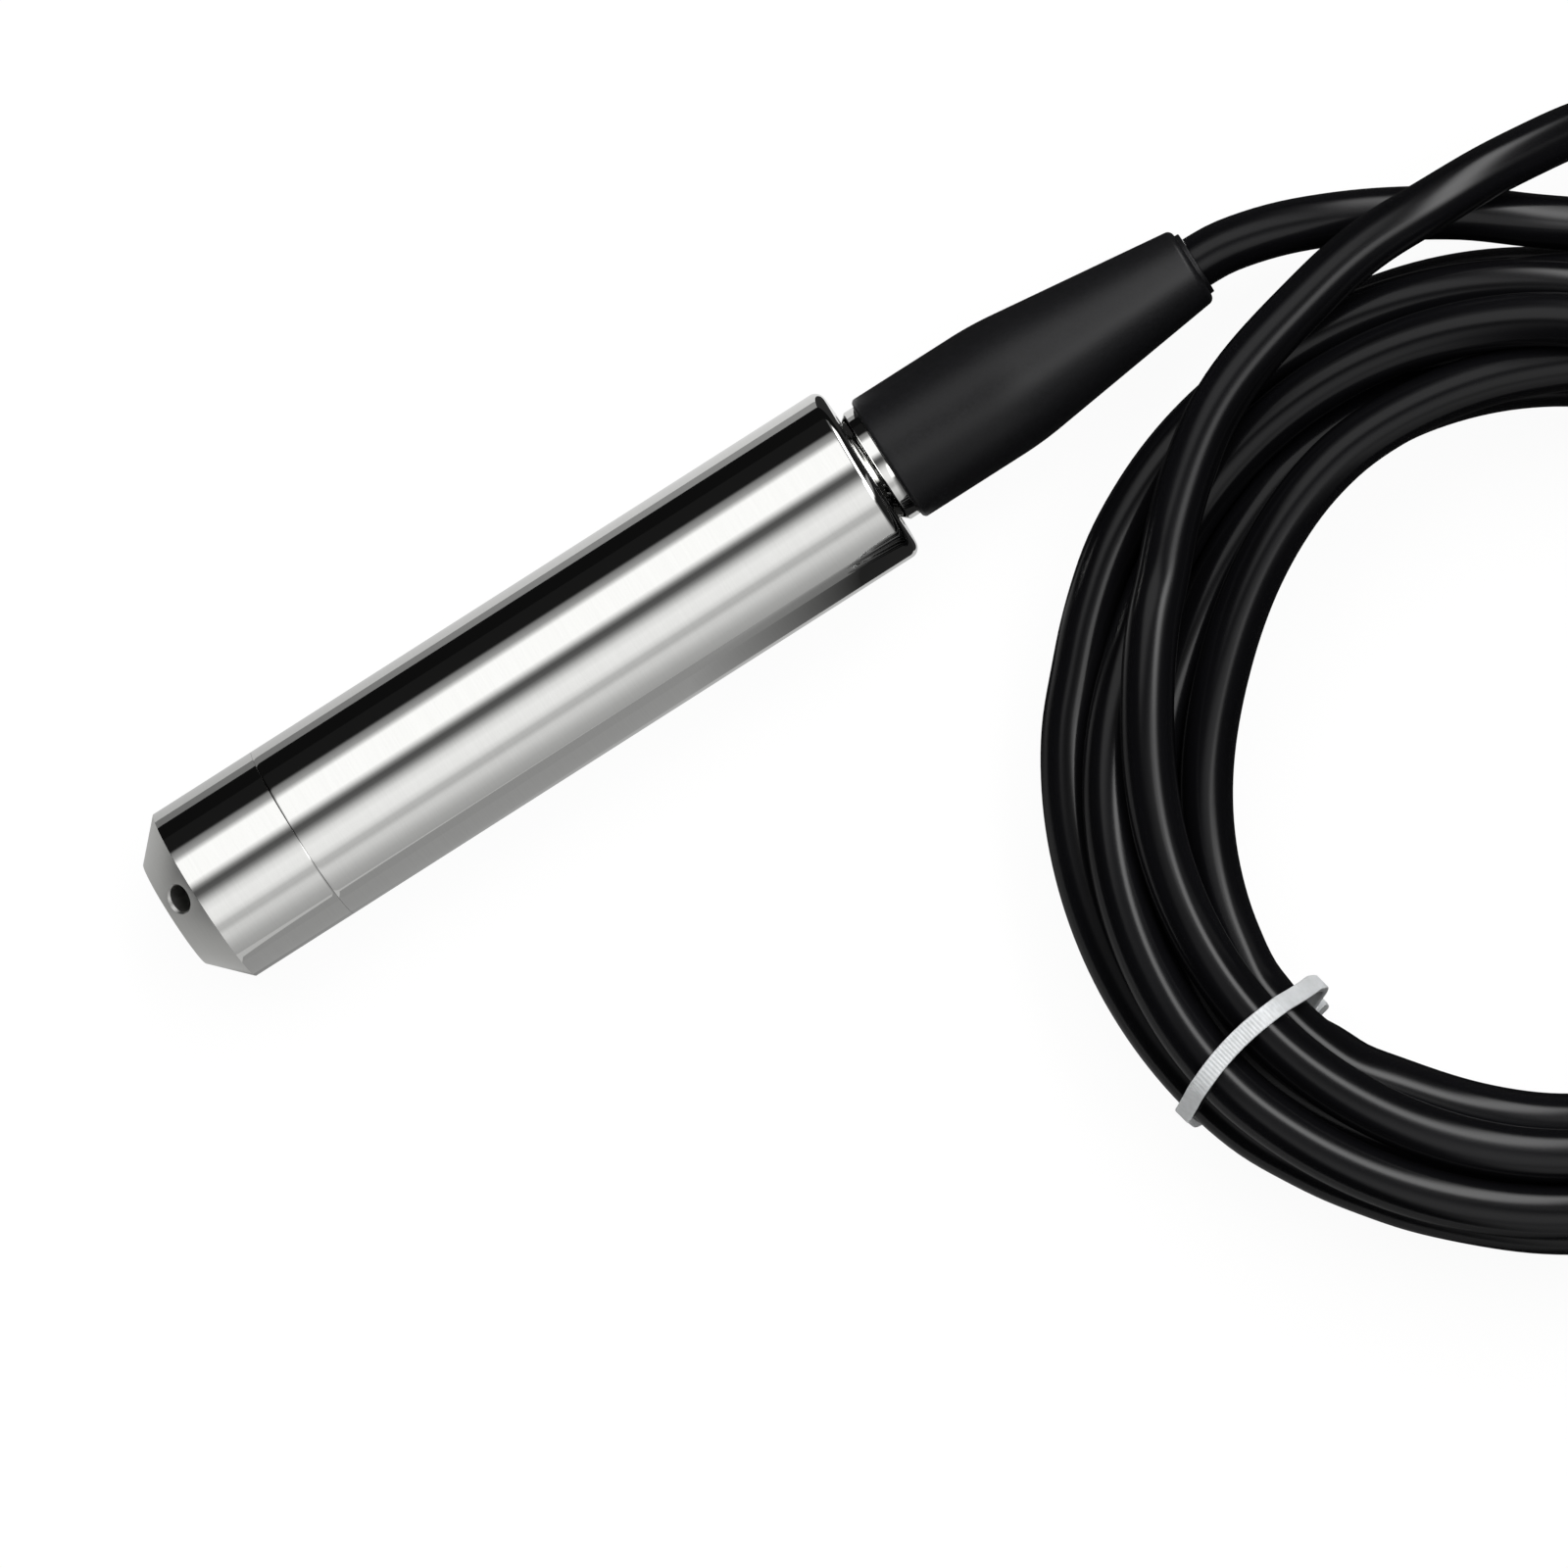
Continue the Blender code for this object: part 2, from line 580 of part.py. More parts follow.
def build_rear_fitting(probe):
    """The turned plug, neck and stem that close the tube, with two seals, a lock ring and the gland."""
    groove_centres = [PLUG_LENGTH / 2 - RING_PITCH / 2, PLUG_LENGTH / 2 + RING_PITCH / 2]
    neck_end = BOOT_FRONT - PLUG_FRONT
    stem_end = STEM_END - PLUG_FRONT
    outline = grooved(0.0, PLUG_LENGTH, PLUG_RADIUS, groove_centres)
    outline += [(PLUG_LENGTH, NECK_RADIUS), (neck_end, NECK_RADIUS)]
    outline += [(neck_end, STEM_RADIUS), (stem_end, STEM_RADIUS)]
    seat = GROMMET_FRONT - PLUG_FRONT - SEAT_GAP
    pocket = GROMMET_RADIUS + SLIDING_FIT
    bore = [(0.0, CABLE_BORE_RADIUS), (seat, CABLE_BORE_RADIUS), (seat, pocket), (stem_end, pocket)]
    turned("rear_fitting", "polished_steel", probe, PLUG_FRONT, outline, bore)
    floor = PLUG_RADIUS - GROOVE_DEPTH
    build_seal_ring("rear_seal_ring_front", probe, PLUG_FRONT + groove_centres[0], floor, BORE_RADIUS)
    build_seal_ring("rear_seal_ring_back", probe, PLUG_FRONT + groove_centres[1], floor, BORE_RADIUS)

    outline, bore = ring_outline(LOCK_RING_LENGTH, PLUG_RADIUS, PLUG_RADIUS - LOCK_RING_WALL)
    lock_ring = turned("fitting_lock_ring", "brass", probe, LOCK_RING_FRONT, outline, bore)
    slot = box_mesh("lock_ring_slot", (LOCK_RING_LENGTH, 2 * TUBE_DIAMETER, SPANNER_SLOT))
    cut(lock_ring, cutter("lock_ring_slot", slot, probe, (LOCK_RING_FRONT, 0.0, 0.0)))

    outline, bore = ring_outline(GROMMET_LENGTH, GROMMET_RADIUS, CABLE_BORE_RADIUS)
    turned("cable_grommet", "seal_rubber", probe, GROMMET_FRONT, outline, bore)
    pusher = STEM_END + SEAT_GAP - GROMMET_BACK - 2 * SEAT_GAP
    outline, bore = ring_outline(pusher, GROMMET_RADIUS, CABLE_BORE_RADIUS)
    turned("grommet_pusher", "brass", probe, GROMMET_BACK + SEAT_GAP, outline, bore)

    end_wall = NUT_LENGTH - NUT_END_WALL
    outline = [(0.0, NUT_RADIUS), (NUT_LENGTH, NUT_RADIUS)]
    bore = [(0.0, NUT_BORE_RADIUS), (end_wall, NUT_BORE_RADIUS)]
    bore += [(end_wall, CABLE_BORE_RADIUS), (NUT_LENGTH, CABLE_BORE_RADIUS)]
    turned("gland_nut", "brass", probe, NUT_FRONT, outline, bore)


def build_boot(probe):
    """The moulded rubber boot: straight over the gland nut, then tapered down to the cable, with a lip."""
    straight = BOOT_STRAIGHT_LENGTH
    face = straight + BOOT_TAPER_LENGTH
    end_radius = CABLE_BORE_RADIUS + BOOT_END_WALL
    slope = (BOOT_RADIUS - end_radius) / BOOT_TAPER_LENGTH
    lip = CABLE_BORE_RADIUS + BOOT_LIP_WALL
    fillet = min(BOOT_END_FILLET, end_radius - lip - SEAT_GAP)
    outline = [
        (0.0, BOOT_RADIUS - BOOT_CHAMFER),
        (BOOT_CHAMFER, BOOT_RADIUS),
        (straight - BOOT_BLEND, BOOT_RADIUS),
        (straight, BOOT_RADIUS - slope * BOOT_BLEND / 4),
        (straight + BOOT_BLEND, BOOT_RADIUS - slope * BOOT_BLEND),
        *arc((face - fillet, end_radius - fillet), fillet, 80, 0, 4),
        (face, lip),
        (face + BOOT_LIP_HEIGHT, lip),
    ]
    nut_front = NUT_FRONT - BOOT_FRONT - MESH_GAP
    nut_back = NUT_BACK - BOOT_FRONT + MESH_GAP
    stem_bore = STEM_RADIUS + SLIDING_FIT
    bore = [
        (0.0, stem_bore),
        (nut_front, stem_bore),
        (nut_front, BOOT_CAVITY_RADIUS),
        (nut_back, BOOT_CAVITY_RADIUS),
        (nut_back, CABLE_BORE_RADIUS),
        (face + BOOT_LIP_HEIGHT, CABLE_BORE_RADIUS),
    ]
    return turned("cable_boot", "black_rubber", probe, BOOT_FRONT, outline, bore, BODY_STEPS)


def build_inner_cable(probe):
    """The sheathed end held in the gland, and the cores and vent capillary that leave it."""
    length = PROBE_LENGTH - MESH_GAP - CABLE_FRONT
    rod("cable_inner_run", "cable_sheath", probe, CABLE_RADIUS, CABLE_FRONT, length, (0.0, 0.0), 24)
    start = CABLE_FRONT - MESH_GAP
    end = BOARD_BACK + MESH_GAP
    middle = (start + end) / 2
    height = BOARD_TOP + TERMINAL_SIZE[2] / 2
    for name, finish, side in (("inner_red_core", "core_red", 1), ("inner_black_core", "core_black", -1)):
        near, far = side * CORE_PITCH / 2, side * TERMINAL_PITCH / 2
        points = [
            Vector((start, near, 0.0)),
            Vector((start - CORE_DIAMETER, near, 0.0)),
            Vector((middle, (near + far) / 2, height / 2)),
            Vector((end + CORE_DIAMETER, far, height)),
            Vector((end, far, height)),
        ]
        wire(name, finish, probe, smooth_route(points, CORE_DIAMETER), CORE_DIAMETER)
    over = BOARD_TOP + TERMINAL_SIZE[2] + CORE_DIAMETER
    points = [
        Vector((start, 0.0, CORE_PITCH)),
        Vector((start - CORE_DIAMETER, 0.0, CORE_PITCH)),
        Vector((middle, 0.0, (CORE_PITCH + over) / 2)),
        Vector((BOARD_BACK - TERMINAL_SIZE[0], 0.0, over)),
    ]
    wire("inner_vent_capillary", "white_plastic", probe, smooth_route(points, CORE_DIAMETER), CORE_DIAMETER)


def rounded_frame(left, right, bottom, top, radius, corner_steps=5):
    """Return the points of a rectangle with round corners, anticlockwise."""
    corners = (
        ((right - radius, top - radius), 0),
        ((left + radius, top - radius), 90),
        ((left + radius, bottom + radius), 180),
        ((right - radius, bottom + radius), 270),
    )
    points = []
    for centre, angle in corners:
        points += arc(centre, radius, angle, angle + 90, corner_steps)
    return points


def flat_ring(name, finish, parent, outlines, thickness, location, rotation):
    """Add a plate with its outline and hole drawn as a flat curve, made a mesh with closed faces."""
    curve = bpy.data.curves.new(name, "CURVE")
    curve.dimensions = "2D"
    curve.fill_mode = "BOTH"
    curve.extrude = thickness / 2
    for outline in outlines:
        spline = curve.splines.new("POLY")
        spline.points.add(len(outline) - 1)
        spline.use_cyclic_u = True
        for target, point in zip(spline.points, outline):
            target.co = (*point, 0.0, 1.0)
    drawn = bpy.data.objects.new(name + "_drawn", curve)
    bpy.context.scene.collection.objects.link(drawn)
    bpy.context.view_layer.update()
    mesh = bpy.data.meshes.new_from_object(drawn.evaluated_get(bpy.context.evaluated_depsgraph_get()))
    bpy.data.objects.remove(drawn, do_unlink=True)
    form = bmesh.new()
    form.from_mesh(mesh)
    bmesh.ops.remove_doubles(form, verts=form.verts, dist=0.000001)
    form.to_mesh(mesh)
    form.free()
    mesh.materials.clear()
    return place(name, mesh, finish, parent, location, rotation)


def tie_frame():
    """Return the outer edges of the strap in its own plane: left, right, bottom, top."""
    left = COIL_INNER_RADIUS - TIE_INNER_LOOP - TIE_THICKNESS
    right = COIL_OUTER_RADIUS + MESH_GAP + TIE_THICKNESS
    return left, right, 0.0, COIL_HEIGHT + MESH_GAP + TIE_THICKNESS


def build_coil(cable):
    """The coiled cable as one turned ring, with the strap of its tie let into its underside."""
    width = COIL_OUTER_RADIUS - COIL_INNER_RADIUS
    section = rounded_frame(-width / 2, width / 2, 0.0, COIL_HEIGHT, COIL_CORNER, 4)
    middle = (COIL_OUTER_RADIUS + COIL_INNER_RADIUS) / 2
    chain = [(height, middle + across) for across, height in reversed(section)]
    place_at = (*COIL_CENTRE, 0.0)
    coil = lathe("cable_coil", "cable_sheath", cable, chain, True, place_at, (0.0, 0.0, 0.0), BODY_STEPS)

    left, right, bottom, top = tie_frame()
    outer = rounded_frame(left, right, bottom, top, TIE_CORNER)
    wall = TIE_THICKNESS
    inner = rounded_frame(left + wall, right - wall, bottom + wall, top - wall, TIE_CORNER - wall)
    turn = (math.pi / 2, 0.0, TIE_ANGLE)
    tie = flat_ring("cable_tie", "natural_nylon", cable, (outer, inner), TIE_WIDTH, (*COIL_CENTRE, 0.0), turn)

    direction = Vector((math.cos(TIE_ANGLE), math.sin(TIE_ANGLE), 0.0))
    centre = Vector((*COIL_CENTRE, 0.0))
    inset = TIE_THICKNESS / 2
    head_height = Vector((0.0, 0.0, inset + TIE_HEAD[2] / 2))
    head_at = centre + direction * (left + inset + TIE_HEAD[0] / 2) + head_height
    head = cutter("tie_head", box_mesh("tie_head", TIE_HEAD), cable, head_at, (0.0, 0.0, TIE_ANGLE))
    cut(tie, head, "UNION")

    spare = 2 * MESH_GAP
    relief = [value + spare for value in TIE_HEAD]
    room = box_mesh("head_room", relief)
    cut(coil, cutter("head_room", room, cable, head_at, (0.0, 0.0, TIE_ANGLE)))
    depth = 2 * (TIE_THICKNESS + MESH_GAP)
    groove = box_mesh("strap_groove", (2 * width, TIE_WIDTH + spare, depth))
    cut(coil, cutter("strap_groove", groove, cable, centre + direction * middle, (0.0, 0.0, TIE_ANGLE)))
    cut(coil, strap_room(cable, left, right, bottom, top))
    return coil


def strap_room(cable, left, right, bottom, top):
    """A cutting band just wider than the strap, which clears the strap's corners from the coil."""
    wall = TIE_THICKNESS + MESH_GAP
    width = TIE_WIDTH + 2 * MESH_GAP
    outer = rounded_frame(left - wall, right + wall, bottom - wall, top + wall, TIE_CORNER + wall)
    inner = rounded_frame(left + wall, right - wall, bottom + wall, top - wall, TIE_CORNER - wall)
    turn = (math.pi / 2, 0.0, TIE_ANGLE)
    place_at = (*COIL_CENTRE, 0.0)
    band = flat_ring("strap_room", "natural_nylon", cable, (outer, inner), width, place_at, turn)
    PART.objects.unlink(band)
    CUTTERS.objects.link(band)
    band.hide_render = True
    band.display_type = "WIRE"
    return band


def build_loose_cable(cable):
    """The cable's stretches that aren't coiled, and the bare flying leads at its far end."""
    straight = [Vector((MESH_GAP, 0.0, TUBE_RADIUS)), Vector((EXIT_STRAIGHT, 0.0, TUBE_RADIUS))]
    lead = smooth_route(straight + metres(LEAD_ROUTE), CABLE_SEGMENT / 2)
    wire("cable_lead", "cable_sheath", cable, lead, CABLE_DIAMETER, 3)
    route = smooth_route(metres(TAIL_ROUTE), CABLE_SEGMENT)
    wire("cable_tail", "cable_sheath", cable, route, CABLE_DIAMETER, 3)

    heading = (route[-1] - route[-2]).normalized()
    inner = CABLE_RADIUS + CABLE_FIT
    outer = inner + SLEEVE_WALL
    depth = SLEEVE_LENGTH - SLEEVE_END_WALL
    chain = [
        (SLEEVE_LENGTH, 0.0),
        (SLEEVE_LENGTH, 2 * CORE_DIAMETER),
        (depth, outer),
        (0.0, outer),
        (0.0, inner),
        (depth, inner),
        (depth, 0.0),
    ]
    start = route[-1] - heading * (depth - MESH_GAP)
    rotation = heading.to_track_quat("Z", "Y").to_euler()
    lathe("tail_end_sleeve", "black_rubber", cable, chain, False, start, rotation)

    mouth = start + heading * (SLEEVE_LENGTH + MESH_GAP)
    across = heading.cross(Vector((0.0, 0.0, 1.0))).normalized()
    finishes = ("core_red", "core_black", "white_plastic")
    for side, (name, core) in enumerate(CORE_ROUTES.items()):
        first = mouth + across * (1 - side) * CORE_PITCH
        points = [first, *metres(core)]
        wire(name, finishes[side], cable, smooth_route(points, CORE_SEGMENT), CORE_DIAMETER)


def main():
    """Build the transmitter."""
    probe = make_parent("probe", (-PROBE_LENGTH / 2, 0.0, TUBE_RADIUS))
    build_nose_cap(probe)
    build_housing_tube(probe)
    build_pressure_cell(probe)
    build_electronics(probe)
    build_rear_fitting(probe)
    build_boot(probe)
    build_inner_cable(probe)
    cable = make_parent("cable", (PROBE_LENGTH / 2, 0.0, 0.0))
    build_coil(cable)
    build_loose_cable(cable)


clear_scene()
PART = make_collection("submersible_level_transmitter")
CUTTERS = make_collection("cutters")
MATERIALS = make_materials()
main()
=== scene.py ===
"""Looks of a submersible level transmitter: a polished probe, its rubber boot and its coiled cable.

The probe lies along X with its nose at -X and its axis 13 mm above the floor. Every size below is in
metres. The cable's route repeats the one that the CAD source uses.
"""

import json
import logging
import math
from dataclasses import dataclass, field
from enum import Enum

import bmesh
import bpy
import numpy as np
from mathutils import Matrix, Vector


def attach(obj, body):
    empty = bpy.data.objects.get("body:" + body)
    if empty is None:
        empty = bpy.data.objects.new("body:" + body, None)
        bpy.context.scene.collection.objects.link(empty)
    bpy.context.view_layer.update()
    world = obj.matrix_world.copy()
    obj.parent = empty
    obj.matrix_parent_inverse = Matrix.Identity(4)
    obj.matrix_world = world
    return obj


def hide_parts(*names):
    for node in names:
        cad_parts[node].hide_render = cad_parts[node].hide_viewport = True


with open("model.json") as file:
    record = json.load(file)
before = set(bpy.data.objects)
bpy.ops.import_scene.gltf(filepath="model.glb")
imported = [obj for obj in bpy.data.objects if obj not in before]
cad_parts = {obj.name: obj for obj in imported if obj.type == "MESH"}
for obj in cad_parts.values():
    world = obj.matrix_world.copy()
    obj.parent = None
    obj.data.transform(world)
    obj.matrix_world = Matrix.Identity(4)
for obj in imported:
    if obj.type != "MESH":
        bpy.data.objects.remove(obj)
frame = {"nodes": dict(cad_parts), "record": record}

LOG = logging.getLogger("level_transmitter")
MM = 0.001
ROOT = "root"

AXIS_HEIGHT = 13.0 * MM
PROBE_LENGTH = 164.3 * MM
NOSE_X = -PROBE_LENGTH / 2
EXIT = (PROBE_LENGTH / 2, 0.0, AXIS_HEIGHT)

MERGE_DISTANCE = 1e-7
TURNED_SHARP, SWEPT_SHARP, DRILLED_SHARP = 35.0, 60.0, 20.0
WHITE = (1.0, 1.0, 1.0, 1.0)
# The Mix node's sockets for two colours and their blend, which share their names with other sockets.
MIX_A, MIX_B, MIX_RESULT = 6, 7, 2

Array = np.ndarray
Tree = bpy.types.NodeTree
Socket = bpy.types.NodeSocket
Piece = bpy.types.Object
Mesh = bpy.types.Mesh


class Slot(Enum):
    """The record's material slots."""

    TUBE_STEEL = "tube_steel"
    NOSE_STEEL = "nose_steel"
    BRASS = "brass"
    BOOT_RUBBER = "boot_rubber"
    SEAL_RUBBER = "seal_rubber"
    CABLE_SHEATH = "cable_sheath"
    NATURAL_NYLON = "natural_nylon"
    WHITE_PLASTIC = "white_plastic"
    BOARD_GREEN = "board_green"
    COMPONENT_BLACK = "component_black"
    COMPONENT_BLUE = "component_blue"
    CORE_RED = "core_red"
    CORE_BLACK = "core_black"


class Frame(Enum):
    """Which coordinates a finish's pattern follows."""

    OBJECT = "object"
    STRAIGHT = "straight"


# ---- materials ----


def linear(code: str) -> tuple[float, float, float, float]:
    """Turn an sRGB hex value into a linear colour.

    Args:
        code: The colour as #rrggbb.

    Returns:
        Red, green, blue and alpha for a shader socket.
    """
    channels = (int(code[place : place + 2], 16) / 255 for place in (1, 3, 5))
    values = [c / 12.92 if c <= 0.04045 else ((c + 0.055) / 1.055) ** 2.4 for c in channels]
    return (values[0], values[1], values[2], 1.0)


def add_node(tree: Tree, kind: str, inputs: dict | None = None, **settings: str) -> bpy.types.Node:
    """Add a node with its settings, values and links.

    Args:
        tree: The node tree that it goes into.
        kind: The node's type name, without the ShaderNode in front.
        inputs: Values or output sockets by the name or number of the input that they go to.
        settings: The node's own properties.

    Returns:
        The new node.
    """
    node = tree.nodes.new("ShaderNode" + kind)
    for key, value in settings.items():
        setattr(node, key, value)
    for key, value in (inputs or {}).items():
        if isinstance(value, Socket):
            tree.links.new(value, node.inputs[key])
        else:
            node.inputs[key].default_value = value
    return node


def blank_tree(owner: bpy.types.Material | bpy.types.World) -> Tree:
    """Turn on the nodes of a material or a world, and empty them."""
    owner.use_nodes = True
    owner.node_tree.nodes.clear()
    return owner.node_tree


def pattern_place(tree: Tree, follows: Frame, stretch: tuple[float, float, float]) -> Socket:
    """Give the coordinates that a pattern reads, centred on the probe's axis and stretched.

    Args:
        tree: The material's node tree.
        follows: Object coordinates, or the straightened cable's own.
        stretch: How many pattern units a metre holds along each axis.

    Returns:
        A vector socket.
    """
    if follows is Frame.STRAIGHT:
        centred = add_node(tree, "Attribute", attribute_name=Frame.STRAIGHT.value).outputs["Vector"]
    else:
        shift = {0: add_node(tree, "TexCoord").outputs["Object"], 1: (0.0, 0.0, -AXIS_HEIGHT)}
        centred = add_node(tree, "VectorMath", shift, operation="ADD").outputs[0]
    return add_node(tree, "VectorMath", {0: centred, 1: stretch}, operation="MULTIPLY").outputs[0]


@dataclass(frozen=True)
class Finish:
    """A material: what it is, how it was made, and its plain shader values."""

    name: str
    slot: Slot
    dark: str
    light: str
    roughness: tuple[float, float]
    metallic: float = 0.0
    specular: float = 0.5
    subsurface: float = 0.0
    subsurface_reach: float = 0.5 * MM
    grain: float = 0.4 * MM
    along: float = 0.4 * MM
    depth: float = 0.0
    follows: Frame = Frame.OBJECT

    def height(self, tree: Tree) -> Socket:
        """Return the pattern that colours, roughens and raises the surface."""
        across, along = 1.0 / self.grain, 1.0 / self.along
        stretch = (across, across, along) if self.follows is Frame.STRAIGHT else (along, across, across)
        inputs = {"Vector": pattern_place(tree, self.follows, stretch), "Scale": 1.0}
        inputs |= {"Detail": 2.0, "Roughness": 0.55}
        return add_node(tree, "TexNoise", inputs).outputs["Fac"]

    def material(self) -> bpy.types.Material:
        """Build the material once and return it.

        Returns:
            The material with this finish's name.
        """
        known = bpy.data.materials.get(self.name)
        if known is not None:
            return known
        material = bpy.data.materials.new(self.name)
        material.use_nodes = True
        tree = material.node_tree
        shader = tree.nodes["Principled BSDF"]
        pattern = self.height(tree)
        # The pattern's middle range, 0.3 to 0.7, spreads over the whole of the colours and roughnesses.
        middle = {"Value": pattern, "From Min": 0.3, "From Max": 0.7}
        share = add_node(tree, "MapRange", middle | {"To Min": 0.0, "To Max": 1.0}).outputs["Result"]
        colours = {"Factor": share, MIX_A: linear(self.dark), MIX_B: linear(self.light)}
        colour = add_node(tree, "Mix", colours, data_type="RGBA").outputs[MIX_RESULT]
        tree.links.new(colour, shader.inputs["Base Color"])
        middle |= {"To Min": self.roughness[0], "To Max": self.roughness[1]}
        tree.links.new(add_node(tree, "MapRange", middle).outputs["Result"], shader.inputs["Roughness"])
        if self.depth:
            raised = {"Height": pattern, "Distance": self.depth, "Strength": 1.0}
            tree.links.new(add_node(tree, "Bump", raised).outputs["Normal"], shader.inputs["Normal"])
        shader.inputs["Metallic"].default_value = self.metallic
        shader.inputs["Specular IOR Level"].default_value = self.specular
        shader.inputs["Subsurface Weight"].default_value = self.subsurface
        shader.inputs["Subsurface Radius"].default_value = (1.0, 1.0, 1.0)
        shader.inputs["Subsurface Scale"].default_value = self.subsurface_reach
        material.diffuse_color = linear(self.light)
        return material


@dataclass(frozen=True)
class TurnedFinish(Finish):
    """Metal from a lathe: fine rings round the probe's axis, on its faces, cones and cylinders alike."""

    def height(self, tree: Tree) -> Socket:
        """Return rings whose place is the distance along the axis plus the distance from it."""
        place = pattern_place(tree, Frame.OBJECT, (1.0, 1.0, 1.0))
        flat = add_node(tree, "VectorMath", {0: place, 1: (0.0, 1.0, 1.0)}, operation="MULTIPLY").outputs[0]
        radius = add_node(tree, "VectorMath", {0: flat}, operation="LENGTH").outputs["Value"]
        along = add_node(tree, "SeparateXYZ", {0: place}).outputs["X"]
        total = add_node(tree, "Math", {0: radius, 1: along}, operation="ADD").outputs[0]
        inputs = {"W": total, "Scale": 1.0 / self.grain, "Detail": 3.0, "Roughness": 0.6}
        return add_node(tree, "TexNoise", inputs, noise_dimensions="1D").outputs["Fac"]


@dataclass(frozen=True)
class BoardFinish(Finish):
    """Lacquered glass-fibre board: copper tracks show as paler lines, 1.27 mm apart."""

    track_pitch: float = 1.27 * MM

    def height(self, tree: Tree) -> Socket:
        """Return the tracks as the mortar of a brick pattern seen from above."""
        inputs = {
            "Vector": add_node(tree, "TexCoord").outputs["Object"],
            "Scale": 1.0 / self.track_pitch,
            "Mortar Size": 0.12,
            "Brick Width": 4.0,
            "Row Height": 1.0,
            "Color1": (0.35, 0.35, 0.35, 1.0),
            "Color2": (0.3, 0.3, 0.3, 1.0),
            "Mortar": (0.7, 0.7, 0.7, 1.0),
        }
        colour = add_node(tree, "TexBrick", inputs).outputs["Color"]
        return add_node(tree, "RGBToBW", {0: colour}).outputs[0]


# Austenitic steel tube, mirror polished: near-perfect reflections, with polishing lines round it that
# only just soften them. Real lines are a few microns apart; drawn 0.3 mm apart so that they show.
POLISHED_STEEL = Finish(
    "mirror_polished_steel", Slot.TUBE_STEEL, "#dbdbd9", "#dededc", (0.03, 0.05), metallic=1.0,
    grain=9.0 * MM, along=0.3 * MM,
)
# The same steel left as turned: fine feed marks give the cone a satin grey.
TURNED_STEEL = TurnedFinish(
    "fine_turned_steel", Slot.NOSE_STEEL, "#b4b4b2", "#c4c4c1", (0.3, 0.4), metallic=1.0,
    grain=0.22 * MM, depth=0.004 * MM,
)
# Free-cutting brass, turned and left bare: warm, with rings that scatter the highlight.
TURNED_BRASS = TurnedFinish(
    "turned_brass", Slot.BRASS, "#b8923f", "#cfa957", (0.22, 0.34), metallic=1.0,
    grain=0.3 * MM, depth=0.006 * MM,
)
# Moulded chloroprene rubber with the mould's fine spark-eroded skin: a broad satin highlight.
MOULDED_RUBBER = Finish(
    "satin_moulded_rubber", Slot.BOOT_RUBBER, "#0d0d0e", "#121214", (0.36, 0.44), specular=0.25,
    grain=0.35 * MM, along=0.35 * MM, depth=0.006 * MM,
)
# Nitrile O-ring rubber, moulded and bloomed: plain and dull.
NITRILE_RUBBER = Finish(
    "moulded_nitrile_rubber", Slot.SEAL_RUBBER, "#1d1d1d", "#262625", (0.5, 0.62),
    grain=0.6 * MM, along=0.6 * MM, depth=0.01 * MM,
)
# Extruded polyurethane sheath: glossy, with soft draw lines along it.
CABLE_SHEATH = Finish(
    "extruded_polyurethane_sheath", Slot.CABLE_SHEATH, "#070708", "#0b0b0d", (0.16, 0.24), specular=0.25,
    grain=2.4 * MM, along=45.0 * MM, depth=0.012 * MM, follows=Frame.STRAIGHT,
)
# Natural nylon 6.6, injection moulded: milky, lets a little light in.
NATURAL_NYLON = Finish(
    "moulded_natural_nylon", Slot.NATURAL_NYLON, "#b6b8b9", "#c4c6c8", (0.3, 0.42), subsurface=0.35,
    subsurface_reach=0.8 * MM, grain=0.8 * MM, along=0.8 * MM, depth=0.008 * MM,
)
# Moulded white thermoplastic of holders, arrester and capillary: even, slightly waxy.
WHITE_PLASTIC = Finish(
    "moulded_white_plastic", Slot.WHITE_PLASTIC, "#dbd9d2", "#e6e4de", (0.34, 0.46), subsurface=0.15,
    grain=0.7 * MM, along=0.7 * MM, depth=0.006 * MM,
)
# Glass-fibre board under green solder lacquer.
GREEN_BOARD = BoardFinish(
    "lacquered_green_board", Slot.BOARD_GREEN, "#1f5a35", "#3c8a55", (0.25, 0.35), depth=0.02 * MM,
)
# Transfer-moulded epoxy of chips and socket: matt black with fine pits.
MOULDED_EPOXY = Finish(
    "moulded_black_epoxy", Slot.COMPONENT_BLACK, "#202022", "#2b2b2d", (0.45, 0.6),
    grain=0.15 * MM, along=0.15 * MM, depth=0.01 * MM,
)
# Blue thermoset of the trimmers.
BLUE_PLASTIC = Finish(
    "moulded_blue_plastic", Slot.COMPONENT_BLUE, "#2a5bb0", "#376bc2", (0.3, 0.42),
    grain=0.5 * MM, along=0.5 * MM, depth=0.005 * MM,
)
# Extruded core insulation: smooth and glossy.
RED_INSULATION = Finish(
    "extruded_red_insulation", Slot.CORE_RED, "#b3201c", "#c62a24", (0.22, 0.32),
    grain=0.6 * MM, along=6.0 * MM, depth=0.006 * MM,
)
BLACK_INSULATION = Finish(
    "extruded_black_insulation", Slot.CORE_BLACK, "#151516", "#1d1d1e", (0.22, 0.32),
    grain=0.6 * MM, along=6.0 * MM, depth=0.006 * MM,
)
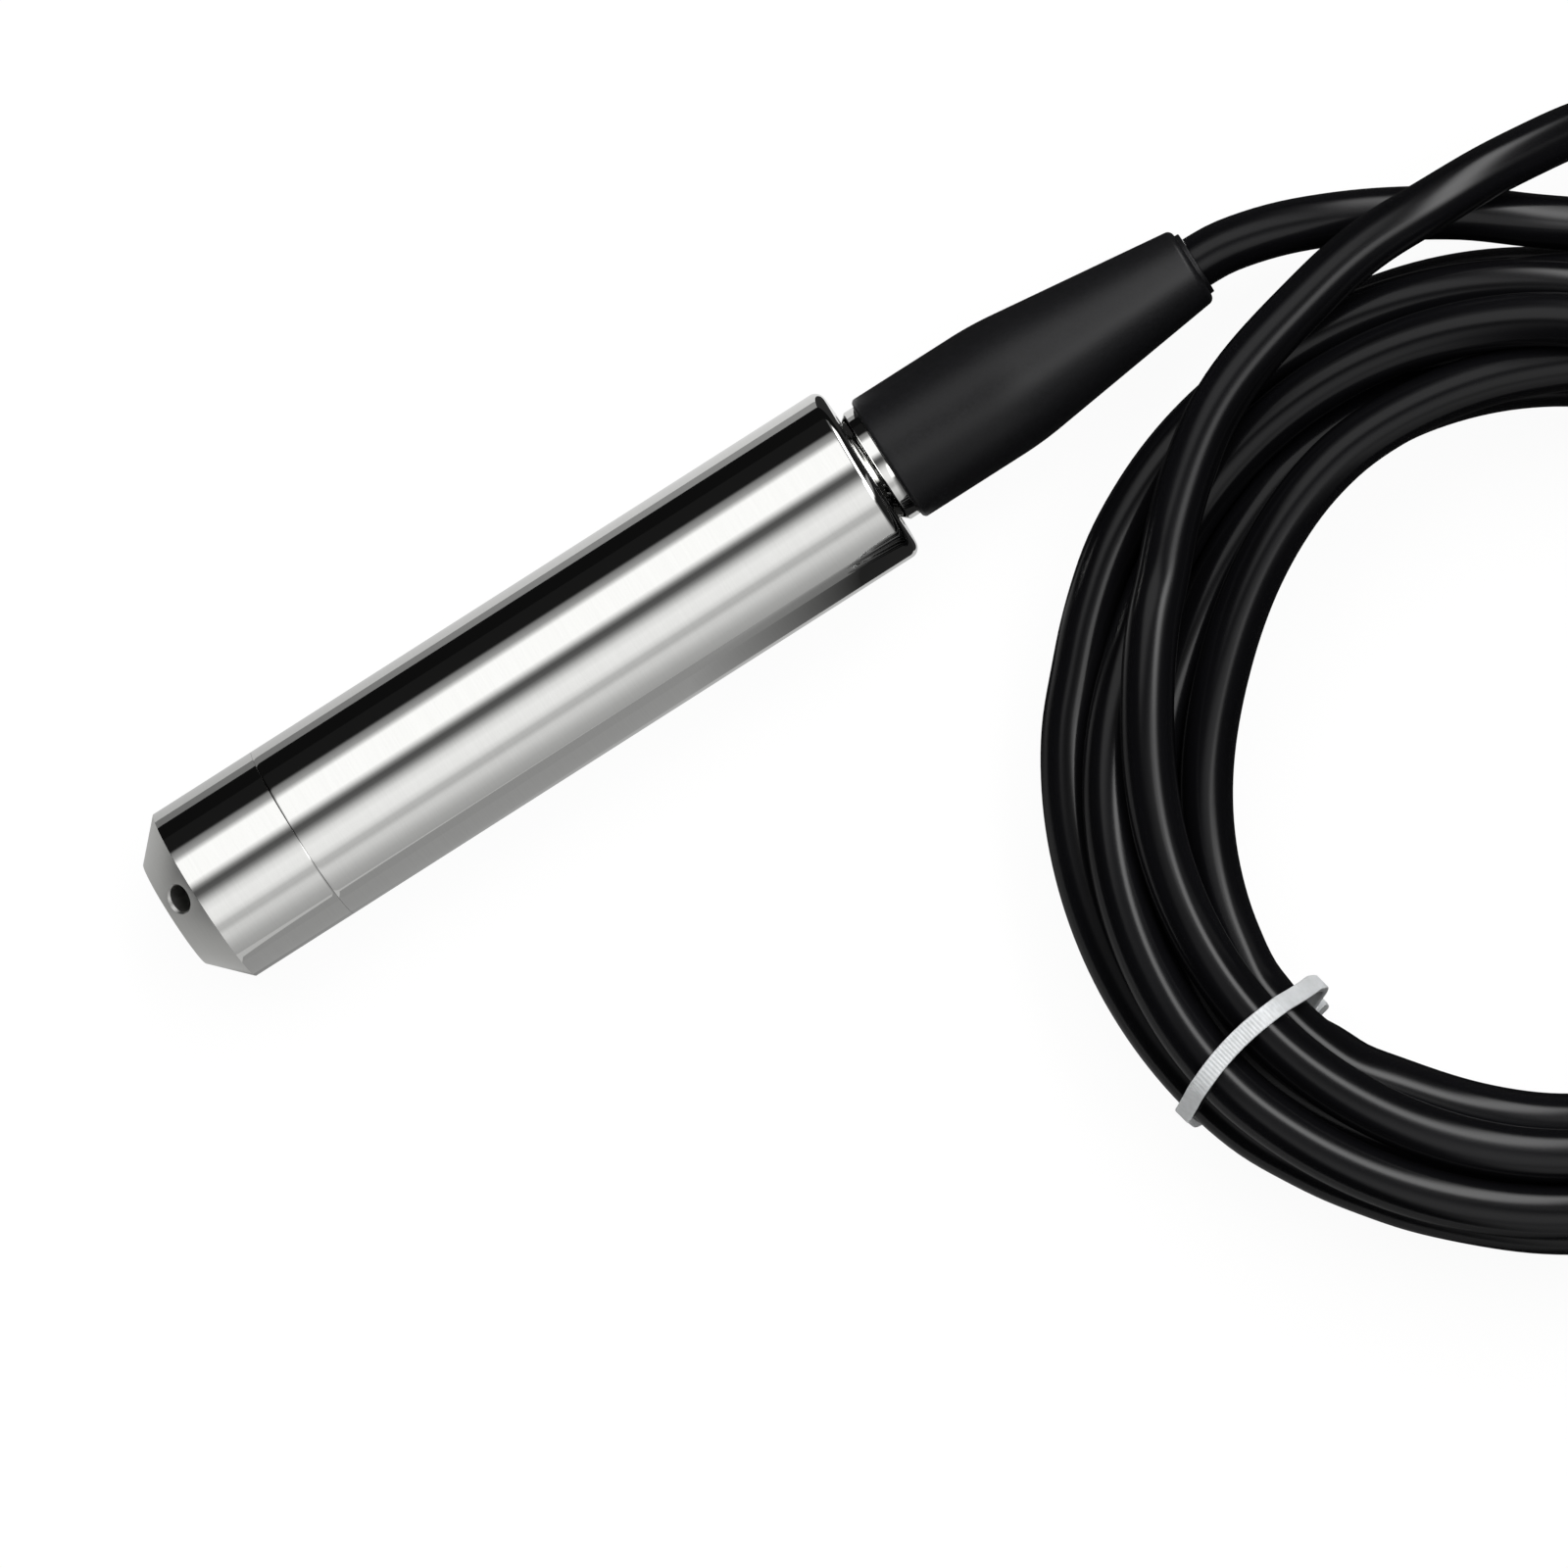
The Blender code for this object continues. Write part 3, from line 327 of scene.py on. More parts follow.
# Tinned copper strands, drawn and twisted: pale grey, slightly dull.
TINNED_COPPER = Finish(
    "tinned_copper_strands", Slot.BRASS, "#b5b3ad", "#cbc9c3", (0.25, 0.38), metallic=1.0,
    grain=0.2 * MM, along=0.2 * MM,
)
FINISHES = (
    POLISHED_STEEL, TURNED_STEEL, TURNED_BRASS, MOULDED_RUBBER, NITRILE_RUBBER, CABLE_SHEATH, NATURAL_NYLON,
    WHITE_PLASTIC, GREEN_BOARD, MOULDED_EPOXY, BLUE_PLASTIC, RED_INSULATION, BLACK_INSULATION,
)


# ---- surfaces ----


def grid_faces(rows: int, columns: int, ring_rows: bool, ring_columns: bool) -> Array:
    """Number the corners of a grid's faces.

    Args:
        rows: Points along the first parameter.
        columns: Points along the second parameter.
        ring_rows: Whether the last row joins the first.
        ring_columns: Whether the last column joins the first.

    Returns:
        One row of four point numbers a face.
    """
    firsts = (np.arange(rows - (not ring_rows)), np.arange(columns - (not ring_columns)))
    i, j = np.meshgrid(*firsts, indexing="ij")
    down, right = (i + 1) % rows, (j + 1) % columns
    corners = (i * columns + j, i * columns + right, down * columns + right, down * columns + j)
    return np.stack(corners, axis=-1).reshape(-1, 4)


def cap_faces(first: int, columns: int, centre: int) -> Array:
    """Fan a ring of points, numbered from first, to the point numbered centre."""
    ring = first + np.arange(columns)
    return np.stack((ring, np.roll(ring, -1), np.full(columns, centre)), axis=-1)


def circle(steps: int) -> Array:
    """Return angles in radians at even steps round a circle."""
    return np.linspace(0.0, 2 * math.pi, steps, endpoint=False)


def unit(rows: Array) -> Array:
    """Scale vectors, one a row, to length one."""
    return rows / np.linalg.norm(rows, axis=-1, keepdims=True)


def lengths_along(line: Array) -> Array:
    """Return the length from a line's first point to each of its points."""
    return np.concatenate([[0.0], np.cumsum(np.linalg.norm(np.diff(line, axis=0), axis=1))])


def new_object(name: str, data: bpy.types.ID) -> Piece:
    """Make an object of its data and link it to the scene."""
    thing = bpy.data.objects.new(name, data)
    bpy.context.scene.collection.objects.link(thing)
    return thing


def new_mesh(name: str, points: Array, faces: list[Array]) -> Mesh:
    """Make a mesh of points and of arrays of point numbers, one row a face."""
    mesh = bpy.data.meshes.new(name)
    rows = [row for block in faces for row in block.tolist()]
    mesh.from_pydata(points.reshape(-1, 3).tolist(), [], rows)
    return mesh


def close_mesh(mesh: Mesh) -> Mesh:
    """Merge a mesh's points that coincide, turn its faces outwards and return it."""
    solid = bmesh.new()
    solid.from_mesh(mesh)
    bmesh.ops.remove_doubles(solid, verts=solid.verts, dist=MERGE_DISTANCE)
    bmesh.ops.recalc_face_normals(solid, faces=solid.faces)
    solid.to_mesh(mesh)
    solid.free()
    return mesh


def make_piece(name: str, points: Array, faces: list[Array], finish: Finish) -> Piece:
    """Make a closed piece of numbered points, merge what coincides and turn its faces outwards.

    Args:
        name: The piece's name.
        points: One row of X, Y and Z a point.
        faces: Arrays of point numbers, one row a face.
        finish: Its material.

    Returns:
        The piece, riding on the root body.
    """
    return dress(name, close_mesh(new_mesh(name, points, faces)), finish)


def dress(name: str, mesh: Mesh, finish: Finish, sharp: float = TURNED_SHARP) -> Piece:
    """Put a finished mesh into the scene as a smooth piece with its finish and body.

    Args:
        name: The piece's name.
        mesh: Its mesh, in place.
        finish: Its material.
        sharp: Edges that turn more than this many degrees are drawn sharp.

    Returns:
        The piece.
    """
    mesh.shade_smooth()
    mesh.set_sharp_from_angle(angle=math.radians(sharp))
    mesh.materials.append(finish.material())
    piece = new_object(name, mesh)
    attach(piece, ROOT)
    return piece


def eased(chain: list[tuple[float, float]], radius: float, closed: bool, steps: int = 5) -> Array:
    """Round every corner of an outline.

    Each corner p becomes the curve (1-s)^2 a + 2 s (1-s) p + s^2 b, where a and b lie on its two sides,
    the radius away from it or at most 0.45 of the side's length.

    Args:
        chain: The outline's corners.
        radius: How far from a corner the curve starts.
        closed: Whether the last corner joins the first. An open outline keeps its two ends.
        steps: Points a corner.

    Returns:
        The rounded outline, one row a point.
    """
    corners = np.array(chain, float)
    before, after = np.roll(corners, 1, axis=0) - corners, np.roll(corners, -1, axis=0) - corners
    lengths = [np.linalg.norm(side, axis=1, keepdims=True) for side in (before, after)]
    starts, ends = (
        corners + side / np.maximum(size, 1e-12) * np.minimum(radius, 0.45 * size)
        for side, size in zip((before, after), lengths)
    )
    s = np.linspace(0.0, 1.0, steps)[None, :, None]
    curve = (1 - s) ** 2 * starts[:, None] + 2 * s * (1 - s) * corners[:, None] + s**2 * ends[:, None]
    if closed:
        return curve.reshape(-1, 2)
    return np.vstack([corners[:1], curve[1:-1].reshape(-1, 2), corners[-1:]])


def turned_points(outline: Array, steps: int) -> Array:
    """Carry an outline round the probe's axis.

    A point at station s and radius r becomes (nose + s, r sin t, axis height + r cos t) at turn t.

    Args:
        outline: Stations from the nose face, and radii.
        steps: Points round the axis.

    Returns:
        A grid of points, stations by turns.
    """
    turn = circle(steps)
    station, radius = outline[:, 0][:, None], outline[:, 1][:, None]
    x = NOSE_X + station + 0.0 * turn
    return np.stack([x, radius * np.sin(turn), AXIS_HEIGHT + radius * np.cos(turn)], axis=-1)


def turned_piece(name: str, outline: Array, finish: Finish, closed: bool, steps: int) -> Piece:
    """Turn an outline on the probe's axis. An open outline starts and ends on the axis."""
    points = turned_points(outline, steps)
    return make_piece(name, points, [grid_faces(len(outline), steps, closed, True)], finish)


def spline(points: Array, spacing: float) -> Array:
    """Run a natural cubic spline through points and step along it evenly.

    The spline's second derivatives solve its tridiagonal system, with the chord lengths as its
    parameter; it is sampled finely and then again at even lengths.

    Args:
        points: The points that it goes through.
        spacing: The distance between the points that come back.

    Returns:
        Evenly spaced points, ends included.
    """
    place = lengths_along(points)
    chord = np.diff(place)
    size = len(points)
    system = np.eye(size)
    inner = np.arange(1, size - 1)
    system[inner, inner - 1] = chord[:-1]
    system[inner, inner] = 2 * (chord[:-1] + chord[1:])
    system[inner, inner + 1] = chord[1:]
    slopes = np.diff(points, axis=0) / chord[:, None]
    right = np.zeros_like(points)
    right[1:-1] = 6 * np.diff(slopes, axis=0)
    second = np.linalg.solve(system, right)
    fine = np.linspace(0.0, place[-1], 12 * size)
    k = np.clip(np.searchsorted(place, fine, side="right") - 1, 0, size - 2)
    h, a, b = chord[k][:, None], (place[k + 1] - fine)[:, None], (fine - place[k])[:, None]
    bend = (second[k] * a**3 + second[k + 1] * b**3) / (6 * h)
    near = (points[k] / h - second[k] * h / 6) * a + (points[k + 1] / h - second[k + 1] * h / 6) * b
    return even_steps(bend + near, spacing)


def even_steps(line: Array, spacing: float) -> Array:
    """Return points at even lengths along a finely drawn line, ends included."""
    length = lengths_along(line)
    wanted = np.linspace(0.0, length[-1], max(2, round(length[-1] / spacing) + 1))
    return np.stack([np.interp(wanted, length, line[:, axis]) for axis in range(3)], axis=-1)


def swept_points(line: Array, radii: Array, sides: int) -> Array:
    """Carry a circle along a line that never stands upright.

    At each point the circle's first axis is the tangent crossed with Z, and its second is square to
    both: p + r (cos t first + sin t second).

    Args:
        line: The circle's centres.
        radii: Its radius at each.
        sides: Points round it.

    Returns:
        A grid of points, centres by sides.
    """
    tangent = unit(np.gradient(line, axis=0))
    first = unit(np.cross(tangent, (0.0, 0.0, 1.0)))
    second = np.cross(first, tangent)
    turn = circle(sides)[None, :, None]
    ring = np.cos(turn) * first[:, None] + np.sin(turn) * second[:, None]
    return line[:, None] + np.asarray(radii, float).reshape(-1, 1, 1) * ring


def swept_piece(name: str, line: Array, radii: Array, sides: int, finish: Finish) -> Piece:
    """Make a closed round piece along a line and store its place on the straightened piece.

    The attribute holds (r cos t, r sin t, length so far), so a pattern follows the piece without a seam.

    Args:
        name: The piece's name.
        line: Its centre line.
        radii: Its radius at each point, or one for all.
        sides: Points round it.
        finish: Its material.

    Returns:
        The piece.
    """
    rows = len(line)
    radii = np.broadcast_to(radii, (rows,))
    points = swept_points(line, radii, sides)
    count = rows * sides
    faces = [
        grid_faces(rows, sides, False, True)[:, ::-1],
        cap_faces(0, sides, count),
        cap_faces(count - sides, sides, count + 1)[:, ::-1],
    ]
    mesh = new_mesh(name, np.vstack([points.reshape(-1, 3), line[:1], line[-1:]]), faces)
    turn, along, wide = circle(sides), lengths_along(line)[:, None], radii[:, None]
    places = np.broadcast_arrays(wide * np.cos(turn), wide * np.sin(turn), along)
    ends = [[0.0, 0.0, along[0, 0]], [0.0, 0.0, along[-1, 0]]]
    straight = np.vstack([np.stack(places, axis=-1).reshape(-1, 3), ends])
    attribute = mesh.attributes.new(Frame.STRAIGHT.value, "FLOAT_VECTOR", "POINT")
    attribute.data.foreach_set("vector", straight.astype(np.float32).ravel())
    return dress(name, mesh, finish, SWEPT_SHARP)


# ---- studio ----


@dataclass
class Studio:
    """The camera at the photograph's angle, a pale floor and a soft light tent with dark gaps."""

    target: tuple[float, float, float] = (-2.85 * MM, -29.53 * MM, AXIS_HEIGHT)
    image_up: tuple[float, float, float] = (0.5375, 0.8433, 0.0)
    lean: float = math.radians(2.5)
    distance: float = 1.7
    lens: float = 288.0
    sensor: float = 36.0
    floor_size: float = 6.0
    floor_drop: float = 0.02 * MM
    floor_glow: float = 0.94
    brightness: float = 8.0
    slant: float = 0.15
    zones: tuple = (
        (
            (
                (-180.0, 0.25), (-92.0, 0.006), (-68.0, 0.006), (-65.0, 0.12), (-57.0, 0.22), (-53.0, 0.45),
                (-50.0, 0.67), (-21.0, 0.67), (-17.0, 0.45), (-12.0, 0.15), (-8.0, 0.05), (-3.0, 0.06),
                (1.0, 0.14), (6.0, 0.30), (12.0, 0.48), (20.0, 0.56), (32.0, 0.54), (38.0, 0.44),
                (42.0, 0.32), (48.0, 0.30), (54.0, 0.41), (60.0, 0.40), (70.0, 0.31), (78.0, 0.255),
                (90.0, 0.22), (120.0, 0.25), (180.0, 0.25),
            ),
            ((-1.0, 0.0), (-0.55, 0.0), (-0.40, 0.25), (0.14, 0.25), (0.24, 0.0), (1.0, 0.0)),
        ),
        (
            ((-180.0, 0.02), (4.0, 0.02), (13.0, 0.45), (26.0, 0.45), (36.0, 0.02), (180.0, 0.02)),
            ((-1.0, 0.0), (0.12, 0.0), (0.22, 1.0), (0.32, 1.0), (0.38, 0.1), (1.0, 0.1)),
        ),
        (
            (
                (-180.0, 0.0), (-85.0, 0.0), (-65.0, 0.8), (-20.0, 1.0), (8.0, 1.0), (18.0, 0.7),
                (27.0, 0.25), (34.0, 0.0), (180.0, 0.0),
            ),
            ((-1.0, 0.0), (0.33, 0.0), (0.42, 1.0), (0.56, 1.0), (0.68, 0.0), (1.0, 0.0)),
        ),
    )
    lamp_place: tuple[float, float, float] = (0.1, 0.7, 1.3)
    lamp_size: tuple[float, float] = (1.2, 0.8)
    lamp_power: float = 10.0
    card_height: float = 0.05 * MM
    card_places: tuple = (
        (-3.0, 3.0, 0.052, 3.0, 0.006, 0.006),
        (-3.0, -0.084, -0.021, 0.052, 0.68, 0.68),
        (-0.084, 0.033, 0.032, 0.052, 0.20, 0.35),
        (-0.084, 0.033, 0.0, 0.032, 0.55, 0.80),
        (-0.084, 0.033, -0.021, 0.0, 0.25, 0.60),
        (0.033, 3.0, -0.021, 0.052, 0.03, 0.03),
        (-3.0, -0.088, -3.0, -0.021, 0.60, 0.60),
        (-0.088, -0.008, -0.078, -0.021, 0.36, 0.36),
        (-0.008, 0.02, -0.078, -0.021, 0.36, 0.025),
        (0.02, 3.0, -0.078, -0.021, 0.02, 0.02),
        (-0.088, -0.01, -3.0, -0.078, 0.34, 0.34),
        (-0.01, 0.03, -3.0, -0.078, 0.34, 0.12),
        (0.03, 3.0, -3.0, -0.078, 0.02, 0.02),
    )

    def camera(self) -> None:
        """Look down at the target from the lean towards the cable end, with the image's up fixed."""
        back = Vector((math.sin(self.lean), 0.0, math.cos(self.lean)))
        up = Vector(self.image_up)
        up = (up - back * up.dot(back)).normalized()
        right = up.cross(back)
        data = bpy.data.cameras.new("studio_camera")
        data.lens, data.sensor_width = self.lens, self.sensor
        data.clip_end = 2 * self.floor_size
        camera = new_object("studio_camera", data)
        turn = Matrix((right, up, back)).transposed().to_4x4()
        camera.matrix_world = Matrix.Translation(Vector(self.target) + back * self.distance) @ turn
        bpy.context.scene.camera = camera

    def sheet(self, name: str, sides: tuple[float, ...], height: float) -> tuple[Piece, Tree]:
        """Lay a flat sheet that rides with the studio.

        Args:
            name: Its name, and its material's.
            sides: Its left and right in X, and its near and far in Y.
            height: Its Z.

        Returns:
            The sheet and its material's empty node tree.
        """
        left, right, near, far = sides
        corners = [(x, y, height) for x, y in ((left, near), (right, near), (right, far), (left, far))]
        mesh = new_mesh(name, np.array(corners), [np.arange(4)[None]])
        material = bpy.data.materials.new(name)
        mesh.materials.append(material)
        thing = new_object(name, mesh)
        return thing, blank_tree(material)

    def floor(self) -> None:
        """Lay a pale sheet that shows white to the camera and keeps a part of the shadows."""
        half = self.floor_size / 2
        _, tree = self.sheet("studio_floor", (-half, half, -half, half), -self.floor_drop)
        rays = add_node(tree, "LightPath").outputs
        shown = rays["Is Camera Ray"]
        for kind in ("Is Glossy Ray", "Is Transmission Ray"):
            shown = add_node(tree, "Math", {0: shown, 1: rays[kind]}, operation="MAXIMUM").outputs[0]
        share = add_node(tree, "Math", {0: shown, 1: self.floor_glow}, operation="MULTIPLY").outputs[0]
        paper = add_node(tree, "BsdfDiffuse", {"Color": linear("#f4f4f2")})
        white = add_node(tree, "Emission", {"Color": WHITE, "Strength": 1.0})
        mix = add_node(tree, "MixShader", {0: share, 1: paper.outputs[0], 2: white.outputs[0]})
        add_node(tree, "OutputMaterial", {"Surface": mix.outputs[0]})

    def profile(self, tree: Tree, value: Socket, reach: float, levels: list | tuple) -> Socket:
        """Read a level from a row of (place, level) stops, for places between -reach and reach."""
        share = {"Value": value, "From Min": -reach, "From Max": reach, "To Min": 0.0, "To Max": 1.0}
        node = add_node(tree, "ValToRGB", {0: add_node(tree, "MapRange", share).outputs["Result"]})
        stops = node.color_ramp.elements
        stops.remove(stops[-1])
        for index, (place, level) in enumerate(levels):
            where = (place / reach + 1.0) / 2.0
            stop = stops[0] if index == 0 else stops.new(where)
            stop.position = where
            stop.color = (level, level, level, 1.0)
        return node.outputs["Color"]

    def tent(self) -> None:
        """Light everything from a tent of three zones, from the nose's end to the cable's.

        The first holds the panels that run along the probe, the second the strip that the boot's taper
        mirrors, the third the bar that draws the lines on the cable. A zone's level depends on the angle
        round the probe's axis, atan2(-y, z) of the ray's direction, zero straight up and negative on the
        far side; its gain depends on the direction's x - slant * y.
        """
        world = bpy.data.worlds.new("studio_tent")
        bpy.context.scene.world = world
        tree = blank_tree(world)
        parts = add_node(tree, "SeparateXYZ", {0: add_node(tree, "TexCoord").outputs["Generated"]}).outputs
        minus_y = add_node(tree, "Math", {0: parts["Y"], 1: -1.0}, operation="MULTIPLY").outputs[0]
        angle = add_node(tree, "Math", {0: minus_y, 1: parts["Z"]}, operation="ARCTAN2").outputs[0]
        slanted = {0: minus_y, 1: self.slant, 2: parts["X"]}
        along = add_node(tree, "Math", slanted, operation="MULTIPLY_ADD").outputs[0]
        total = 0.0
        for panels, gains in self.zones:
            level = self.profile(tree, angle, math.pi, [(math.radians(place), value) for place, value in panels])
            gain = self.profile(tree, along, 1.0, gains)
            lit = {0: level, 1: gain, 2: total}
            total = add_node(tree, "Math", lit, operation="MULTIPLY_ADD").outputs[0]
        strength = add_node(tree, "Math", {0: total, 1: self.brightness}, operation="MULTIPLY").outputs[0]
        tent = add_node(tree, "Background", {"Color": WHITE, "Strength": strength})
        white = add_node(tree, "Background", {"Color": WHITE, "Strength": 1.0})
        seen = add_node(tree, "LightPath").outputs["Is Camera Ray"]
        mix = add_node(tree, "MixShader", {0: seen, 1: tent.outputs[0], 2: white.outputs[0]})
        add_node(tree, "OutputWorld", {"Surface": mix.outputs[0]})

    def cards(self) -> None:
        """Lay flat cards round the object that only reflections see, as for a photograph of metal.

        A card's level runs evenly from its left to its right edge.
        """
        for index, (*sides, level_left, level_right) in enumerate(self.card_places):
            card, tree = self.sheet(f"studio_card_{index + 1}", tuple(sides), self.card_height)
            place = add_node(tree, "TexCoord").outputs["Object"]
            along = add_node(tree, "SeparateXYZ", {0: place}).outputs["X"]
            share = {"Value": along, "From Min": sides[0], "From Max": sides[1]}
            share |= {"To Min": level_left, "To Max": level_right}
            level = add_node(tree, "MapRange", share).outputs["Result"]
            glow = add_node(tree, "Emission", {"Color": WHITE, "Strength": level})
            add_node(tree, "OutputMaterial", {"Surface": glow.outputs[0]})
            card.visible_camera = card.visible_diffuse = card.visible_shadow = False
            card.visible_transmission = card.visible_volume_scatter = False

    def lamps(self) -> None:
        """Hang one large soft lamp on the far side, which gives the soft shadows their direction."""
        data = bpy.data.lights.new("soft_key", "AREA")
        data.shape, data.energy = "RECTANGLE", self.lamp_power
        data.size, data.size_y = self.lamp_size
        lamp = new_object("soft_key", data)
        place = Vector(self.lamp_place)
        lamp.matrix_world = Matrix.Translation(place) @ place.to_track_quat("Z", "Y").to_matrix().to_4x4()
        lamp.visible_glossy = False

    def build(self) -> None:
        """Set up the whole studio."""
        self.camera()
        self.floor()
        self.tent()
        self.cards()
        self.lamps()
        bpy.context.scene.view_settings.view_transform = "Standard"


# ---- cable ----


@dataclass
class Cable:
    """The vented cable: its lead from the boot, the tied coil and the tail that leaves over it.

    Places are X and Y from the exit and heights above the floor, in millimetres for the lead and the
    tail. Inside the coil a point is an angle in degrees round the coil's centre, a radius and a height.
    The edges' rows are an angle and the bundle's inner and outer radius there, in millimetres. The cable
    winds clockwise, seen from above.

    A turn moves to its next slot from change_angle on, over change_span, and later turns a change_delay
    earlier each. The lead gives the first turn's places down to lead_meets and fixes them above
    lead_fixed. The tail gives the last turn's from tail_meets down and fixes them below tail_fixed.
    """

    diameter: float = 7.3 * MM
    coil_centre: tuple[float, float] = (6.1 * MM, -84.2 * MM)
    first_angle: float = 77.5
    last_angle: float = 77.5
    turns: int = 10
    step: float = 5.0
    tie_angle: float = 192.5
    change_angle: float = 100.0
    change_delay: float = 3.0
    change_span: float = 95.0
    lead_fixed: float = 55.0
    lead_meets: float = 10.0
    lead_end: tuple = ((40.0, 70.6 * MM, 7.4 * MM), (10.0, 66.0 * MM, 3.65 * MM))
    tail_fixed: float = 125.0
    tail_meets: float = 160.0
    join_gap: float = 2.0
    wander: float = 0.8 * MM
    rounds: int = 700
    guided_share: float = 0.8
    pull: float = 0.02
    smoothing: float = 0.2
    strap_height: float = 1.25 * MM
    strap_reach: float = 8.0
    head_place: tuple[float, float] = (48.0 * MM, 2.3 * MM)
    head_reach: float = 2.1 * MM
    head_span: float = 4.0
    spare: float = 0.06 * MM
    sides: int = 24
    ring_spacing: float = 1.6 * MM
    lead: tuple = (
        (0.0, 0.0, 13.0), (3.5, -0.15, 13.0), (7.0, -0.8, 13.0), (11.9, -2.2, 12.9), (16.7, -4.1, 12.8),
        (22.2, -6.7, 12.4), (27.9, -9.9, 12.0), (34.9, -14.4, 11.4), (41.0, -19.4, 10.9),
    )
    tail: tuple = (
        (-46.0, -73.7, 23.8), (-43.7, -65.9, 23.8), (-39.6, -56.2, 23.8), (-33.4, -44.0, 23.8),
        (-25.8, -32.5, 23.8), (-20.9, -27.6, 23.8), (-15.4, -22.8, 23.8), (-9.6, -18.8, 23.7),
        (-4.8, -16.4, 23.6), (1.9, -14.2, 23.4), (8.1, -12.7, 23.0), (14.2, -11.3, 22.4),
        (21.7, -10.4, 21.5), (29.4, -10.5, 20.3), (39.5, -10.8, 17.4), (46.0, -11.4, 14.6),
        (56.4, -13.2, 9.2), (66.4, -18.2, 5.0), (75.9, -27.0, 4.0), (83.9, -39.5, 4.0),
        (88.9, -54.0, 4.0), (90.9, -70.0, 4.1), (89.9, -86.0, 4.8), (86.9, -99.0, 4.9),
    )
    edges: tuple = (
        (0.0, 45.5, 70.0), (40.0, 46.5, 71.5), (70.0, 48.2, 72.5), (80.0, 48.7, 72.5), (90.0, 48.5, 72.5),
        (100.0, 47.6, 72.4), (110.0, 46.4, 72.3), (120.0, 44.7, 72.2), (130.0, 43.6, 71.4),
        (140.0, 42.8, 71.1), (150.0, 43.2, 72.3), (160.0, 44.1, 74.6), (172.0, 45.9, 76.4),
        (182.0, 48.0, 75.4), (192.5, 47.6, 71.4), (202.0, 47.0, 68.3), (212.0, 45.4, 67.1),
        (225.0, 45.0, 66.2), (250.0, 45.1, 66.3), (300.0, 45.3, 68.5),
    )
    line: Array = field(default_factory=lambda: np.zeros((0, 3)))

    @property
    def radius(self) -> float:
        """Half the cable's diameter."""
        return self.diameter / 2

    def slots(self) -> Array:
        """Return the bundle's places, in the order in which the turns fill it.

        Layers of three and two strands, each lying in the gaps of the one below. Each row is a distance
        from the bundle's middle, in strands, and a height.
        """
        rise = (self.diameter + self.spare) * math.sqrt(3) / 2
        layers = ((1.0, 0.0, -1.0), (-0.5, 0.5), (1.0, 0.0, -1.0), (0.5, -0.5))
        places = [(slot, self.radius + layer * rise) for layer, row in enumerate(layers) for slot in row]
        return np.array(places)

    def limits(self, angle: Array) -> tuple[Array, Array]:
        """Give the least and the greatest radius that a strand's centre may have at each angle."""
        rows = np.array(self.edges)
        inner, outer = (np.interp(angle, rows[:, 0], rows[:, column], period=360.0) * MM for column in (1, 2))
        return inner + self.radius, outer - self.radius

    def polar(self, route: Array) -> Array:
        """Turn places into angles in degrees round the coil, radii and heights."""
        x, y = route[:, 0] - self.coil_centre[0], route[:, 1] - self.coil_centre[1]
        return np.stack([np.degrees(np.arctan2(y, x)), np.hypot(x, y), route[:, 2]], axis=-1)

    def guide(self, angle: Array) -> tuple[Array, Array]:
        """Say where each point of the winding would like to be, and how firmly.

        A turn keeps its own slot from the tie round to the top of the picture, and moves to the next
        slot, along a smooth step, in a window that starts where the tail has left the bundle. The
        windows of later turns start first. The lead comes in from outside, and the tail follows its
        own route. Away from the tie the turns also wander in and out, as loosely coiled cable does.

        Args:
            angle: The winding's angle so far, in degrees, falling.

        Returns:
            Radii and heights, and a weight that is zero where a point is fixed.
        """
        slots = self.slots()
        wound = (self.change_angle - angle) / 360.0
        turn = np.clip(np.floor(wound).astype(int), 0, self.turns - 1)
        into = (wound - np.floor(wound)) * 360.0
        start = self.change_delay * (self.turns - 1 - turn)
        share = np.clip((into - start) / self.change_span, 0.0, 1.0)
        share = share * share * (3 - 2 * share)
        last = slots[np.clip(turn - 1, 0, self.turns - 1)]
        here = last * (1 - share[:, None]) + slots[turn] * share[:, None]
        least, most = self.limits(angle)
        here[:, 0] = (least + most) / 2 + here[:, 0] * (most - least) / 2
        swing = np.radians(angle)
        loose = np.sin((swing - math.radians(self.tie_angle)) / 2) ** 2
        wave = np.sin(2 * swing + 2.4 * wound) + 0.6 * np.sin(3 * swing + 4.1 * wound)
        here[:, 0] += self.wander * loose * wave

        reach = -360.0 * self.turns
        lead = np.vstack([self.polar(np.array(self.lead[-5:]) * MM), self.lead_end])
        tail = self.polar(np.array(self.tail) * MM)
        parts = ((lead, angle > self.lead_meets, 0.0), (tail, angle < reach + self.tail_meets, reach))
        for rows, part, back in parts:
            for column in (0, 1):
                here[part, column] = np.interp(back - angle[part], -rows[:, 0], rows[:, column + 1])
        fixed = (angle > self.lead_fixed) | (angle < reach + self.tail_fixed)
        return here, np.where(fixed, 0.0, 1.0)

